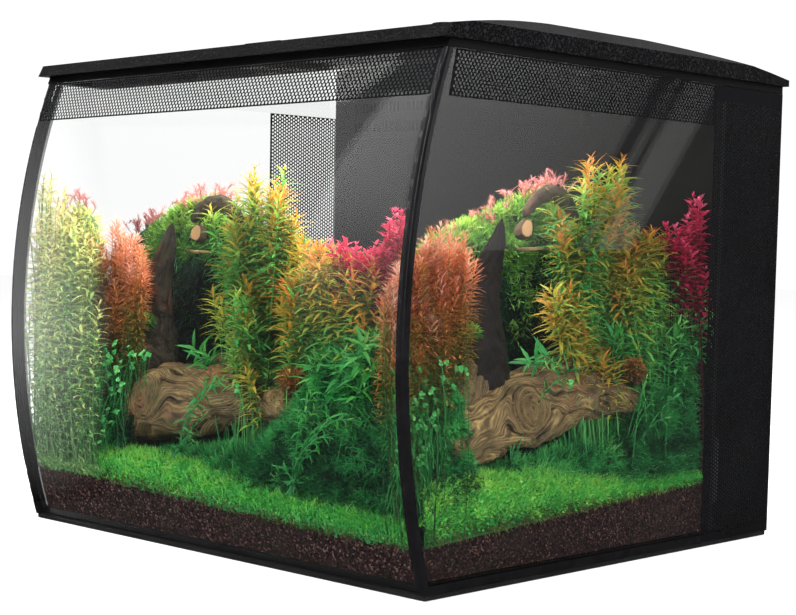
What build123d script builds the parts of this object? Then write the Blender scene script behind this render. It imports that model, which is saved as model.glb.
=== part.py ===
from build123d import *
import os

# Freshwater aquarium with a bowed front pane, a rear filter compartment and a
# lift-off domed lid.  Millimetres, +Z up.  Origin: centre of the base on the
# surface it stands on.  The bowed front pane faces -Y, +X is the right-hand side.

# ---------------------------------------------------------------- dimensions
W = 400.0            # outer width over the side panes
D = 364.0            # depth of the flat base
T = 5.0              # pane thickness
MAT = 3.0            # levelling mat under the panes
Z_GLASS = 319.5      # top edge of the panes
Z_RIM = 328.0        # top of the rim frame
R_BOW = 486.2        # outer radius of the bowed front pane
Y_BOW = 281.9        # its centre, in Y
Z_BOW = 145.5        # and in Z
Z_BAND = 291.8       # lower edge of the perforated band
Z_BED = 8.0          # upper face of the bottom pane
FILM = 0.25          # thickness of the printed films

Y_PART = 114.0       # front face of the partition
T_PART = 4.0         # its thickness

LID_X = 203.8        # half width of the lid
LID_F = -177.6       # front foot of the lid skirt
LID_R = 183.9        # rear face of the lid
Z_LID = 324.6        # lower edge of the lid skirt
LEDGE = Z_RIM + 0.3  # face of the lid that comes down on the rim frame

HATCH_X = 55.5       # half width of the feeding hatch
HATCH_F = -140.0     # front edge of the hatch
HINGE_Y = -72.0      # hatch hinge line
HINGE_Z = 339.6
PIN_R = 1.0

NOZ_X = (85.0, 125.0)  # return nozzles
NOZ_Z = 310.5
PUMP_Y = 148.0       # pump axis, along X
PUMP_Z = 45.0

os.makedirs("parts", exist_ok=True)


def bow(z, off=0.0):
    """Y of the bowed pane's outer face at height z, pushed in by off."""
    r = R_BOW - off
    return Y_BOW - (r * r - (z - Z_BOW) ** 2) ** 0.5


def p(z, off=0.0):
    return (bow(z, off), z)


def out(part, name):
    part.part.label = name
    export_step(part.part, "parts/" + name + ".step")


X2, Y2 = W / 2, D / 2
XI = X2 - T          # inner face of a side pane

# ------------------------------------------------------------------ tank shell
with BuildPart() as base_mat:
    with BuildSketch(Plane.XY):
        RectangleRounded(W - 1.0, D - 1.0, 2.0)
    extrude(amount=MAT)
out(base_mat, "base_mat")

with BuildPart() as bottom_glass:
    with BuildSketch(Plane.XY.offset(MAT)):
        with Locations((0, -0.25)):
            Rectangle(2 * (XI - 1.0), 352.5)
    extrude(amount=Z_BED - MAT)
out(bottom_glass, "bottom_glass")

# black silicone joint round the edge of the bottom pane
with BuildPart() as bottom_seal:
    with BuildSketch(Plane.XY.offset(MAT)):
        with Locations((0, -0.25)):
            Rectangle(2 * XI, 354.5)
            Rectangle(2 * (XI - 1.0), 352.5, mode=Mode.SUBTRACT)
    extrude(amount=Z_BED - MAT)
out(bottom_seal, "bottom_seal")

ZM = (MAT + Z_GLASS) / 2
with BuildPart() as front_glass:
    with BuildSketch(Plane.YZ):
        with BuildLine():
            ThreePointArc(p(MAT), p(ZM), p(Z_GLASS))
            Line(p(Z_GLASS), p(Z_GLASS, T))
            ThreePointArc(p(Z_GLASS, T), p(ZM, T), p(MAT, T))
            Line(p(MAT, T), p(MAT))
        make_face()
    extrude(amount=X2 - 3.0, both=True)
out(front_glass, "front_glass")


def side_pane(x0, name):
    with BuildPart() as pane:
        with BuildSketch(Plane.YZ.offset(x0)):
            with BuildLine():
                ThreePointArc(p(MAT, T), p(ZM, T), p(Z_GLASS, T))
                Line(p(Z_GLASS, T), (Y2, Z_GLASS))
                Line((Y2, Z_GLASS), (Y2, MAT))
                Line((Y2, MAT), p(MAT, T))
            make_face()
        extrude(amount=T)
    out(pane, name)


side_pane(-X2, "left_side_glass")
side_pane(XI, "right_side_glass")

with BuildPart() as rear_glass:
    with BuildSketch(Plane.XY.offset(MAT)):
        with Locations((0, Y2 - T / 2)):
            Rectangle(2 * XI, T)
    extrude(amount=Z_GLASS - MAT)
out(rear_glass, "rear_glass")


# black corner joint between the bowed pane and a side pane, rounded outside
def corner_seam(sign, name):
    with BuildPart() as seam:
        with BuildSketch(Plane.YZ.offset(sign * (X2 - 3.0))):
            with BuildLine():
                ThreePointArc(p(MAT), p(ZM), p(Z_GLASS))
                Line(p(Z_GLASS), p(Z_GLASS, T))
                ThreePointArc(p(Z_GLASS, T), p(ZM, T), p(MAT, T))
                Line(p(MAT, T), p(MAT))
            make_face()
        extrude(amount=sign * 3.0)
        outer = seam.edges().filter_by(GeomType.CIRCLE).sort_by(
            lambda e: (round(-sign * e.center().X, 2), round(e.center().Y, 2)))[0]
        fillet(outer, 2.4)
    out(seam, name)


corner_seam(-1, "front_seam_left")
corner_seam(1, "front_seam_right")

# fillet beads inside the two front corners
def inner_bead(sign, name):
    e = (-(1 - 0.29 ** 2) ** 0.5, -0.29)      # radial direction below the bed
    plane = Plane(origin=(0, Y_BOW, Z_BOW), x_dir=(1, 0, 0),
                  z_dir=(0, -e[1], e[0]))
    ri = R_BOW - T
    with BuildPart() as bead:
        with BuildSketch(plane):
            with BuildLine():
                Polyline((sign * XI, ri), (sign * (XI - 5.5), ri),
                         (sign * XI, ri - 5.5), close=True)
            make_face()
        revolve(axis=Axis((0, Y_BOW, Z_BOW), (-1, 0, 0)), revolution_arc=40)
        with BuildSketch(Plane.XY.offset(Z_BED + 0.5)):
            Rectangle(W, 450)
        extrude(amount=Z_GLASS - Z_BED - 1.5, mode=Mode.INTERSECT)
    out(bead, name)


inner_bead(-1, "inner_bead_left")
inner_bead(1, "inner_bead_right")

with BuildPart() as rear_seams:
    with BuildSketch(Plane.XY.offset(Z_BED + 0.5)):
        for s in (-1, 1):
            with BuildLine():
                Polyline((s * XI, Y2 - T), (s * (XI - 5), Y2 - T),
                         (s * XI, Y2 - T - 5), close=True)
            make_face()
    extrude(amount=Z_GLASS - Z_BED - 1.5)
out(rear_seams, "rear_seams")

# moulded rim frame on the top edges, flush with the panes
with BuildPart() as top_rim_frame:
    with BuildSketch(Plane.YZ):
        with BuildLine():
            Polyline(p(Z_GLASS), (Y2, Z_GLASS), (Y2, Z_RIM), p(Z_RIM), close=True)
        make_face()
    extrude(amount=X2, both=True)
    with BuildSketch(Plane.XY.offset(Z_GLASS - 1)):
        with Locations((0, 5.0)):
            Rectangle(2 * 189.0, 2 * 165.5)
    extrude(amount=12, mode=Mode.SUBTRACT)
    # notch in the rear bar for the lead grommet
    with BuildSketch(Plane.XY.offset(Z_GLASS + 1.5)):
        with Locations((140, Y2 - 5)):
            Rectangle(20, 14)
    extrude(amount=12, mode=Mode.SUBTRACT)
out(top_rim_frame, "top_rim_frame")

# rubber grommet with two lead bores in the notch
with BuildPart() as cable_grommet:
    with BuildSketch(Plane.XY.offset(Z_GLASS + 1.5)):
        with Locations((140, Y2 - 5)):
            RectangleRounded(19.6, 13, 1.5)
    extrude(amount=6.9)
    with BuildSketch(Plane.XZ.offset(-Y2 - 5)):
        with Locations((135.5, Z_GLASS + 4.8), (144.5, Z_GLASS + 4.8)):
            Circle(1.9)
    extrude(amount=30, mode=Mode.SUBTRACT)
out(cable_grommet, "cable_grommet")

# ------------------------------------------------------------- printed films
ZB = (Z_BAND + 319.0) / 2
with BuildPart() as front_band_film:
    with BuildSketch(Plane.YZ):
        with BuildLine():
            ThreePointArc(p(Z_BAND, -FILM), p(ZB, -FILM), p(319.0, -FILM))
            Line(p(319.0, -FILM), p(319.0))
            ThreePointArc(p(319.0), p(ZB), p(Z_BAND))
            Line(p(Z_BAND), p(Z_BAND, -FILM))
        make_face()
    extrude(amount=X2 - 4.0, both=True)
out(front_band_film, "front_band_film")

with BuildPart() as right_side_film:
    with BuildSketch(Plane.YZ.offset(X2)):
        with BuildLine():
            Polyline((-165.0, 319.0), (Y2 - 0.5, 319.0), (Y2 - 0.5, 3.5),
                     (97.0, 3.5), (97.0, Z_BAND), (-171.0, Z_BAND), close=True)
        make_face()
    extrude(amount=FILM)
out(right_side_film, "right_side_film")

with BuildPart() as left_side_film:
    with BuildSketch(Plane.YZ.offset(-X2 - FILM)):
        with Locations((113.25, 161.25)):
            Rectangle(136.5, 315.5)
    extrude(amount=FILM)
out(left_side_film, "left_side_film")

with BuildPart() as rear_film:
    with BuildSketch(Plane.XY.offset(3.5)):
        with Locations((0, Y2 + FILM / 2)):
            Rectangle(W - 1.0, FILM)
    extrude(amount=315.5)
out(rear_film, "rear_film")

# -------------------------------------------------------- filter compartment
PX = XI - 0.3
with BuildPart() as partition:
    with BuildSketch(Plane.XZ.offset(-Y_PART)):
        with Locations((0, (Z_BED + 318.0) / 2)):
            Rectangle(2 * PX, 318.0 - Z_BED)
        with Locations((-130, 304)):
            Rectangle(84, 12, mode=Mode.SUBTRACT)
        with Locations((-130, 100)):
            Rectangle(64, 44, mode=Mode.SUBTRACT)
        with Locations(*[(x, NOZ_Z) for x in NOZ_X]):
            Circle(4.2, mode=Mode.SUBTRACT)
    extrude(amount=-T_PART)
out(partition, "partition")


def grille(cx, cz, w, h, n, name):
    """Slotted insert snapped into the partition, with a thin front flange."""
    with BuildPart() as g:
        with BuildSketch(Plane.XZ.offset(-Y_PART + 1.5)):
            with Locations((cx, cz)):
                RectangleRounded(w + 5, h + 5, 2)
        extrude(amount=-1.5)
        with BuildSketch(Plane.XZ.offset(-Y_PART)):
            with Locations((cx, cz)):
                Rectangle(w - 0.2, h - 0.2)
        extrude(amount=-T_PART)
        with BuildSketch(Plane.XZ.offset(-Y_PART + 2)):
            with Locations((cx, cz)):
                with GridLocations((w - 4.0) / n, 1, n, 1):
                    Rectangle((w - 4.0) / n - 1.8, h - 4)
        extrude(amount=-(T_PART + 4), mode=Mode.SUBTRACT)
    out(g, name)


grille(-130, 304, 84, 12, 18, "overflow_grille")
grille(-130, 100, 64, 44, 14, "intake_grille")

YC0, YC1 = Y_PART + T_PART, Y2 - T          # compartment, front to back
with BuildPart() as baffle_left:
    with BuildSketch(Plane.YZ.offset(-62)):
        with Locations(((YC0 + YC1) / 2, 165)):
            Rectangle(YC1 - YC0, 250)
    extrude(amount=3)
out(baffle_left, "baffle_left")

with BuildPart() as baffle_right:
    with BuildSketch(Plane.YZ.offset(59)):
        with Locations(((YC0 + YC1) / 2, 134)):
            Rectangle(YC1 - YC0, 252)
        with Locations(((YC0 + YC1) / 2, 252)):
            with GridLocations(9, 1, 5, 1):
                Rectangle(5, 12, mode=Mode.SUBTRACT)
    extrude(amount=3)
out(baffle_right, "baffle_right")

with BuildPart() as foam_block:
    with BuildSketch(Plane.XY.offset(Z_BED + 0.3)):
        with Locations((-128, (YC0 + YC1) / 2)):
            RectangleRounded(110, 52, 5)
    extrude(amount=236 - Z_BED - 0.3)
out(foam_block, "foam_block")

# perforated top plate and bail handle that lift the foam out
with BuildPart() as foam_handle:
    with BuildSketch(Plane.XY.offset(236)):
        with Locations((-128, (YC0 + YC1) / 2)):
            RectangleRounded(112, 54, 5)
            with GridLocations(13, 13, 7, 3):
                RectangleRounded(9, 9, 1.5, mode=Mode.SUBTRACT)
    extrude(amount=3)
    with BuildSketch(Plane.XZ.offset(-(YC0 + YC1) / 2 + 4)):
        with Locations((-128, 256)):
            RectangleRounded(60, 40, 6)
            RectangleRounded(50, 30, 4, mode=Mode.SUBTRACT)
        with Locations((-128, 230)):
            Rectangle(80, 12, mode=Mode.SUBTRACT)
    extrude(amount=-8)
out(foam_handle, "foam_handle")

with BuildPart() as media_shelf:
    with BuildSketch(Plane.XY.offset(44)):
        with Locations((0, (YC0 + YC1) / 2)):
            Rectangle(116, 56)
            with GridLocations(11, 11, 10, 4):
                Rectangle(7, 7, mode=Mode.SUBTRACT)
    extrude(amount=4)
out(media_shelf, "media_shelf")

# mesh bags of filter media, closed solids of their outer shape
with BuildPart() as ring_media_bag:
    with BuildSketch(Plane.XY.offset(48.4)):
        with Locations((0, (YC0 + YC1) / 2)):
            RectangleRounded(110, 50, 12)
    extrude(amount=84)
    fillet(ring_media_bag.faces().sort_by(Axis.Z)[-1].edges(), 8)
out(ring_media_bag, "ring_media_bag")

with BuildPart() as carbon_bag:
    with BuildSketch(Plane.XY.offset(133)):
        with Locations((0, (YC0 + YC1) / 2)):
            RectangleRounded(106, 48, 12)
    extrude(amount=62)
    fillet(carbon_bag.faces().sort_by(Axis.Z)[-1].edges(), 8)
out(carbon_bag, "carbon_bag")

# ------------------------------------------------------------------ the pump
with BuildPart() as pump_motor:
    with BuildSketch(Plane.YZ.offset(118)):
        with Locations((PUMP_Y, PUMP_Z)):
            RectangleRounded(48, 52, 6)
    extrude(amount=46)
    with BuildSketch(Plane.YZ.offset(117)):
        with Locations((PUMP_Y, PUMP_Z)):
            Circle(10.0)
    extrude(amount=33, mode=Mode.SUBTRACT)
    fillet(pump_motor.faces().sort_by(Axis.X)[-1].edges(), 3)
out(pump_motor, "pump_motor")

with BuildPart() as volute_housing:
    with BuildSketch(Plane.YZ.offset(92)):
        with Locations((PUMP_Y, PUMP_Z)):
            Circle(24)
    extrude(amount=25.9)
    with BuildSketch(Plane.XY.offset(PUMP_Z)):
        with Locations((105, PUMP_Y)):
            Circle(6.0)
    extrude(amount=44)
    with BuildSketch(Plane.YZ.offset(91)):
        with Locations((PUMP_Y, PUMP_Z)):
            Circle(20.5)
    extrude(amount=24.5, mode=Mode.SUBTRACT)
    with BuildSketch(Plane.YZ.offset(110)):
        with Locations((PUMP_Y, PUMP_Z)):
            Circle(11.0)
    extrude(amount=10, mode=Mode.SUBTRACT)
    with BuildSketch(Plane.XY.offset(PUMP_Z + 10)):
        with Locations((105, PUMP_Y)):
            Circle(4.4)
    extrude(amount=50, mode=Mode.SUBTRACT)
out(volute_housing, "volute_housing")

# slotted cover over the pump's intake
with BuildPart() as pump_cover:
    with BuildSketch(Plane.YZ.offset(88.5)):
        with Locations((PUMP_Y, PUMP_Z)):
            Circle(24)
            with PolarLocations(13, 10):
                SlotOverall(8, 2.6, mode=Mode.SUBTRACT)
    extrude(amount=3.4)
    fillet(pump_cover.faces().sort_by(Axis.X)[0].outer_wire().edges(), 1.2)
out(pump_cover, "pump_cover")

with BuildPart() as impeller_shaft:
    with BuildSketch(Plane.YZ.offset(92.2)):
        with Locations((PUMP_Y, PUMP_Z)):
            Circle(1.5)
    extrude(amount=57.6)
out(impeller_shaft, "impeller_shaft")

with BuildPart() as impeller:
    with BuildSketch(Plane.YZ.offset(97)):
        with Locations((PUMP_Y, PUMP_Z)):
            Circle(5)
            with PolarLocations(10.5, 6):
                Rectangle(15, 1.8)
    extrude(amount=16)
    with BuildSketch(Plane.YZ.offset(112)):
        with Locations((PUMP_Y, PUMP_Z)):
            Circle(9.4)
    extrude(amount=36.5)
    with BuildSketch(Plane.YZ.offset(90)):
        with Locations((PUMP_Y, PUMP_Z)):
            Circle(1.56)
    extrude(amount=70, mode=Mode.SUBTRACT)
out(impeller, "impeller")

with BuildPart() as pump_feet:
    with BuildSketch(Plane.XY.offset(Z_BED)):
        with Locations((141, PUMP_Y)):
            with GridLocations(34, 34, 2, 2):
                Circle(6.0)
    extrude(amount=5, taper=22)
    with BuildSketch(Plane.XY.offset(Z_BED + 5)):
        with Locations((141, PUMP_Y)):
            with GridLocations(34, 34, 2, 2):
                Circle(3)
    extrude(amount=6)
out(pump_feet, "pump_feet")

with BuildPart() as outlet_hose:
    with BuildSketch(Plane.XY.offset(PUMP_Z + 30)):
        with Locations((105, PUMP_Y)):
            Circle(8.0)
            Circle(6.02, mode=Mode.SUBTRACT)
    extrude(amount=NOZ_Z - 13 - (PUMP_Z + 30))
out(outlet_hose, "outlet_hose")

# tee that splits the return water between the two nozzles
with BuildPart() as outlet_manifold:
    with BuildSketch(Plane.YZ.offset(76)):
        with Locations((PUMP_Y, NOZ_Z)):
            Circle(6.5)
    extrude(amount=58)
    with BuildSketch(Plane.XY.offset(NOZ_Z - 26)):
        with Locations((105, PUMP_Y)):
            Circle(6.0)
    extrude(amount=26)
    with BuildSketch(Plane.XZ.offset(-PUMP_Y)):
        with Locations(*[(x, NOZ_Z) for x in NOZ_X]):
            Circle(4.0)
    extrude(amount=PUMP_Y - 101.0)
    with BuildSketch(Plane.XZ.offset(-(Y_PART + T_PART + 3.2))):
        with Locations(*[(x, NOZ_Z) for x in NOZ_X]):
            Circle(6.3)
    extrude(amount=3.0)
    with BuildSketch(Plane.YZ.offset(79)):
        with Locations((PUMP_Y, NOZ_Z)):
            Circle(4.6)
    extrude(amount=52, mode=Mode.SUBTRACT)
    with BuildSketch(Plane.XY.offset(NOZ_Z - 27)):
        with Locations((105, PUMP_Y)):
            Circle(4.4)
    extrude(amount=27, mode=Mode.SUBTRACT)
    with BuildSketch(Plane.XZ.offset(-PUMP_Y)):
        with Locations(*[(x, NOZ_Z) for x in NOZ_X]):
            Circle(2.6)
    extrude(amount=60, mode=Mode.SUBTRACT)
out(outlet_manifold, "outlet_manifold")

# nuts that clamp the tee's spigots to the partition
with BuildPart() as outlet_nuts:
    with BuildSketch(Plane.XZ.offset(-(Y_PART - 0.05))):
        with Locations(*[(x, NOZ_Z) for x in NOZ_X]):
            RegularPolygon(6.6, 6)
            Circle(4.02, mode=Mode.SUBTRACT)
    extrude(amount=3.4)
out(outlet_nuts, "outlet_nuts")


# swivelling elbow nozzle that turns on a spigot
def nozzle(x, name):
    with BuildPart() as n:
        with BuildSketch(Plane.XZ.offset(-110.3)):
            with Locations((x, NOZ_Z)):
                Circle(6.2)
        extrude(amount=13)
        with BuildSketch(Plane.XY.offset(NOZ_Z)):
            with Locations((x, 101.0)):
                Circle(3.6)
        extrude(amount=-15)
        with BuildSketch(Plane.XZ.offset(-111)):
            with Locations((x, NOZ_Z)):
                Circle(4.06)
        extrude(amount=10.4, mode=Mode.SUBTRACT)
        with BuildSketch(Plane.XZ.offset(-103)):
            with Locations((x, NOZ_Z)):
                Circle(3.3)
        extrude(amount=4, mode=Mode.SUBTRACT)
        with BuildSketch(Plane.XY.offset(NOZ_Z - 18)):
            with Locations((x, 101.0)):
                Circle(2.3)
        extrude(amount=15, mode=Mode.SUBTRACT)
    out(n, name)


nozzle(NOZ_X[0], "outlet_nozzle_left")
nozzle(NOZ_X[1], "outlet_nozzle_right")

# ------------------------------------------------------------------- the lid
ROOF = [(-173.4, 332.6), (-153, 335.6), (-110, 340.8), (-35, 343.9),
        (40, 342.6), (120, 337.0), (LID_R, 329.0)]


def lid_block(roof, front, rear, low, crown, half):
    """Arched side profile crossed with a bevelled front profile."""
    with BuildPart() as b:
        with BuildSketch(Plane.YZ):
            with BuildLine():
                Spline(*roof)
                Polyline(roof[-1], (rear, low), (front, low), roof[0])
            make_face()
        extrude(amount=half, both=True)
        with BuildSketch(Plane.XZ):
            with BuildLine():
                Polyline(*[(-x, z) for x, z in crown],
                         *[(x, z) for x, z in reversed(crown)], close=True)
            make_face()
        extrude(amount=260, both=True, mode=Mode.INTERSECT)
    return b


lid_outer = lid_block(ROOF, LID_F, LID_R, Z_LID,
                      [(LID_X, Z_LID - 1), (LID_X, 335.2), (191.0, 343.2), (150, 346)],
                      LID_X)
ROOF_IN = [(-166, LEDGE + 2.6), (-153, 332.4), (-110, 337.6), (-35, 340.7),
           (40, 339.4), (120, 333.8), (160, LEDGE + 1.2)]
lid_inner = lid_block(ROOF_IN, -166, 160, LEDGE - 0.5,
                      [(196.0, LEDGE - 1), (196.0, 333.0), (189.0, 339.5), (150, 343)],
                      196.0)

with BuildPart() as lid_shell:
    add(lid_outer.part)
    # step that takes the rim frame
    with BuildSketch(Plane.XY.offset(Z_LID - 1)):
        with Locations((0, (-171.3 + 182.8) / 2)):
            Rectangle(2 * 201.3, 182.8 + 171.3)
    extrude(amount=LEDGE - Z_LID + 1, mode=Mode.SUBTRACT)
    add(lid_inner.part, mode=Mode.SUBTRACT)
    # feeding hatch, from its front edge to just behind the hinge
    with BuildSketch(Plane.XY.offset(LEDGE)):
        with Locations((0, (HATCH_F + HINGE_Y + 4.8) / 2)):
            Rectangle(2 * HATCH_X, HINGE_Y + 4.8 - HATCH_F)
    extrude(amount=30, mode=Mode.SUBTRACT)
    # bosses for the hatch pin
    with BuildSketch(Plane.YZ.offset(HATCH_X)):
        with Locations((HINGE_Y, HINGE_Z - 0.6)):
            Rectangle(7.0, 6.4)
    extrude(amount=5)
    with BuildSketch(Plane.YZ.offset(-HATCH_X)):
        with Locations((HINGE_Y, HINGE_Z - 0.6)):
            Rectangle(7.0, 6.4)
    extrude(amount=-5)
    with BuildSketch(Plane.YZ.offset(-60)):
        with Locations((HINGE_Y, HINGE_Z)):
            Circle(PIN_R + 0.02)
    extrude(amount=120, mode=Mode.SUBTRACT)
    # lamp bosses under the roof
    with BuildSketch(Plane.XY.offset(337.2)):
        with Locations((-162, -44), (162, -44), (-162, 4), (162, 4)):
            Circle(4.0)
    extrude(amount=4.6)
    with BuildSketch(Plane.XY.offset(337.0)):
        with Locations((-162, -44), (162, -44), (-162, 4), (162, 4)):
            Circle(1.5)
    extrude(amount=3.1, mode=Mode.SUBTRACT)
    # well for the light button and the switch below it
    with BuildSketch(Plane.XY.offset(LEDGE + 0.6)):
        with Locations((150, -120)):
            Circle(13.8)
            Circle(12.0, mode=Mode.SUBTRACT)
    extrude(amount=9.4)
    with BuildSketch(Plane.XY.offset(332)):
        with Locations((150, -120)):
            Circle(9.4)
    extrude(amount=20, mode=Mode.SUBTRACT)
    # rear notch over the lead grommet
    with BuildSketch(Plane.XY.offset(Z_LID - 1)):
        with Locations((140, LID_R)):
            Rectangle(20, 14)
    extrude(amount=LEDGE - Z_LID + 1.2, mode=Mode.SUBTRACT)
out(lid_shell, "lid_shell")

# hatch panel with its hinge barrel and a finger lip
with BuildPart() as feeding_flap:
    add(lid_outer.part)
    with BuildSketch(Plane.XY.offset(Z_LID - 5)):
        with Locations((0, (HATCH_F + 0.5 + HINGE_Y - 2.6) / 2)):
            Rectangle(2 * (HATCH_X - 0.5), HINGE_Y - 2.6 - HATCH_F - 0.5)
    extrude(amount=40, mode=Mode.INTERSECT)
    with BuildSketch(Plane.YZ.offset(-HATCH_X)):
        with BuildLine():
            Spline(*[(y, z - 2.6) for y, z in ROOF])
            Polyline((ROOF[-1][0], ROOF[-1][1] - 2.6), (LID_R, 300), (ROOF[0][0], 300),
                     (ROOF[0][0], ROOF[0][1] - 2.6))
        make_face()
    extrude(amount=2 * HATCH_X, mode=Mode.SUBTRACT)
    with BuildSketch(Plane.YZ.offset(-(HATCH_X - 0.5))):
        with Locations((HINGE_Y, HINGE_Z)):
            Circle(2.9)
        with Locations((HINGE_Y - 2.4, HINGE_Z + 0.6)):
            Rectangle(3.0, 2.4)
    extrude(amount=2 * (HATCH_X - 0.5))
    with BuildSketch(Plane.XY.offset(337.0)):
        with Locations((0, HATCH_F + 3.2)):
            RectangleRounded(36, 3.6, 1.2)
    extrude(amount=2.2)
    with BuildSketch(Plane.YZ.offset(-60)):
        with Locations((HINGE_Y, HINGE_Z)):
            Circle(PIN_R + 0.05)
    extrude(amount=120, mode=Mode.SUBTRACT)
out(feeding_flap, "feeding_flap")

with BuildPart() as flap_hinge_pin:
    with BuildSketch(Plane.YZ.offset(-59.5)):
        with Locations((HINGE_Y, HINGE_Z)):
            Circle(PIN_R)
    extrude(amount=119)
out(flap_hinge_pin, "flap_hinge_pin")

with BuildPart() as lamp_housing:
    with BuildSketch(Plane.XY.offset(322)):
        with Locations((0, -20)):
            RectangleRounded(340, 80, 6)
    extrude(amount=15)
    with BuildSketch(Plane.XY.offset(321)):
        with Locations((0, -20)):
            Rectangle(300, 64)
    extrude(amount=13, mode=Mode.SUBTRACT)
    with BuildSketch(Plane.XY.offset(320)):
        with Locations((-162, -44), (162, -44), (-162, 4), (162, 4)):
            Circle(1.6)
    extrude(amount=20, mode=Mode.SUBTRACT)
out(lamp_housing, "lamp_housing")

with BuildPart() as lamp_lens:
    with BuildSketch(Plane.XY.offset(320)):
        with Locations((0, -20)):
            RectangleRounded(306, 72, 3)
    extrude(amount=2)
out(lamp_lens, "lamp_lens")

with BuildPart() as led_board:
    with BuildSketch(Plane.XY.offset(332.4)):
        with Locations((0, -20)):
            Rectangle(294, 58)
    extrude(amount=1.6)
out(led_board, "led_board")

with BuildPart() as led_chips:
    with BuildSketch(Plane.XY.offset(331.5)):
        with Locations((0, -20)):
            with GridLocations(22, 18, 13, 3):
                Rectangle(5, 5)
    extrude(amount=0.9)
out(led_chips, "led_chips")

with BuildPart() as lamp_screws:
    with BuildSketch(Plane.XY.offset(320.2)):
        with Locations((-162, -44), (162, -44), (-162, 4), (162, 4)):
            Circle(3.0)
    extrude(amount=1.8)
    with BuildSketch(Plane.XY.offset(322)):
        with Locations((-162, -44), (162, -44), (-162, 4), (162, 4)):
            Circle(1.48)
    extrude(amount=17.8)
    with BuildSketch(Plane.XY.offset(320.2)):
        with Locations((-162, -44), (162, -44), (-162, 4), (162, 4)):
            Rectangle(3.4, 0.8)
            Rectangle(0.8, 3.4)
    extrude(amount=0.9, mode=Mode.SUBTRACT)
out(lamp_screws, "lamp_screws")

with BuildPart() as light_button:
    with BuildSketch(Plane.XY.offset(334.0)):
        with Locations((150, -120)):
            Circle(9.0)
    extrude(amount=7.4)
    fillet(light_button.faces().sort_by(Axis.Z)[-1].edges(), 0.8)
out(light_button, "light_button")

with BuildPart() as light_switch:
    with BuildSketch(Plane.XY.offset(LEDGE + 0.6)):
        with Locations((150, -120)):
            Circle(12.0)
    extrude(amount=3.2)
out(light_switch, "light_switch")

# ---------------------------------------------------------------- the scape
with BuildPart() as substrate:
    with BuildSketch(Plane.YZ):
        with BuildLine():
            Polyline((-176.4, Z_BED), (-178.2, 20), (-180.4, 30), (Y_PART - 0.2, 45),
                     (Y_PART - 0.2, Z_BED), close=True)
        make_face()
    extrude(amount=XI - 5.8, both=True)
out(substrate, "substrate")

# driftwood: an upright trunk rising from a lying log, in two pieces
with BuildPart() as driftwood_front:
    with BuildSketch(Plane.YZ.offset(-132)):
        with Locations((-140, 76)):
            Circle(16)
    with BuildSketch(Plane.YZ.offset(-70)):
        with Locations((-142, 84)):
            Circle(24)
    with BuildSketch(Plane.YZ.offset(2)):
        with Locations((-138, 74)):
            Circle(14)
    loft()
    with BuildSketch(Plane.XY.offset(34.5)):
        with Locations((-84, -132)):
            Ellipse(24, 15)
    with BuildSketch(Plane.XY.offset(130)):
        with Locations((-90, -130)):
            Ellipse(18, 12)
    with BuildSketch(Plane.XY.offset(208)):
        with Locations((-97, -132)):
            Ellipse(6, 5)
    loft()
out(driftwood_front, "driftwood_front")

with BuildPart() as driftwood_side:
    with BuildSketch(Plane.XZ.offset(112)):
        with Locations((160, 80)):
            Circle(17)
    with BuildSketch(Plane.XZ.offset(50)):
        with Locations((164, 84)):
            Circle(24)
    with BuildSketch(Plane.XZ.offset(-4)):
        with Locations((160, 80)):
            Circle(15)
    loft()
    with BuildSketch(Plane.XY.offset(37.0)):
        with Locations((156, -92)):
            Ellipse(14, 24)
    with BuildSketch(Plane.XY.offset(130)):
        with Locations((156, -88)):
            Ellipse(12, 18)
    with BuildSketch(Plane.XY.offset(214)):
        with Locations((158, -78)):
            Ellipse(5, 6)
    loft()
out(driftwood_side, "driftwood_side")


def clump(x0, x1, y0, y1, z0, z1, name, r=8.0):
    """Closed outer solid of a stand of plants."""
    with BuildPart() as c:
        with BuildSketch(Plane.XY.offset(z0)):
            with Locations(((x0 + x1) / 2, (y0 + y1) / 2)):
                RectangleRounded(x1 - x0, y1 - y0, r)
        extrude(amount=z1 - z0)
        fillet(c.faces().sort_by(Axis.Z)[-1].edges(), r * 0.7)
    out(c, name)


clump(-189, -136, -182, -118, 34.5, 238, "plants_left_front")
clump(-148, -50, -112, -70, 38, 240, "moss_mound_front")
clump(6, 98, -182, -76, 37, 262, "plants_centre_front")
clump(100, 147, -182, -120, 34.5, 226, "plants_crimson_front")
clump(149, 188, -182, -124, 34.5, 222, "plants_orange_side")
clump(100.5, 134, -112, 4, 43, 246, "moss_mound_side")
clump(100, 188, 8, 84, 45.5, 265, "plants_centre_side")
clump(138, 188, 86, 110, 46, 238, "plants_crimson_side")
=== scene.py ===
import math

import bpy
import numpy as np
from mathutils import Matrix, Vector


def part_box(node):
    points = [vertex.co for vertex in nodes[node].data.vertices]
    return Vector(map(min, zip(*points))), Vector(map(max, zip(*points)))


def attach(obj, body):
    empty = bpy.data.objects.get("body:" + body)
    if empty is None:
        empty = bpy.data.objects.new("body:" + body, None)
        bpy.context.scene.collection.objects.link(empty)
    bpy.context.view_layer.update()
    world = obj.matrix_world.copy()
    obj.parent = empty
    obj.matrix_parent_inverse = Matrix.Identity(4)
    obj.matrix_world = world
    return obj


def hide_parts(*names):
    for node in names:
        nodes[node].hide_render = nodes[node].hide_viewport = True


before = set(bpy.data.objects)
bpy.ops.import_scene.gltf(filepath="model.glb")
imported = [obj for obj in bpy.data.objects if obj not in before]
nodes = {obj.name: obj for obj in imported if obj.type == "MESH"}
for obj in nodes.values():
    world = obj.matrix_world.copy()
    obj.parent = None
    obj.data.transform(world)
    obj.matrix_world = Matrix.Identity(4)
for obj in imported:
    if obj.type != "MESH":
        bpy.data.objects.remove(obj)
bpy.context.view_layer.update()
scene = bpy.context.scene
MM = 0.001

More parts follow.
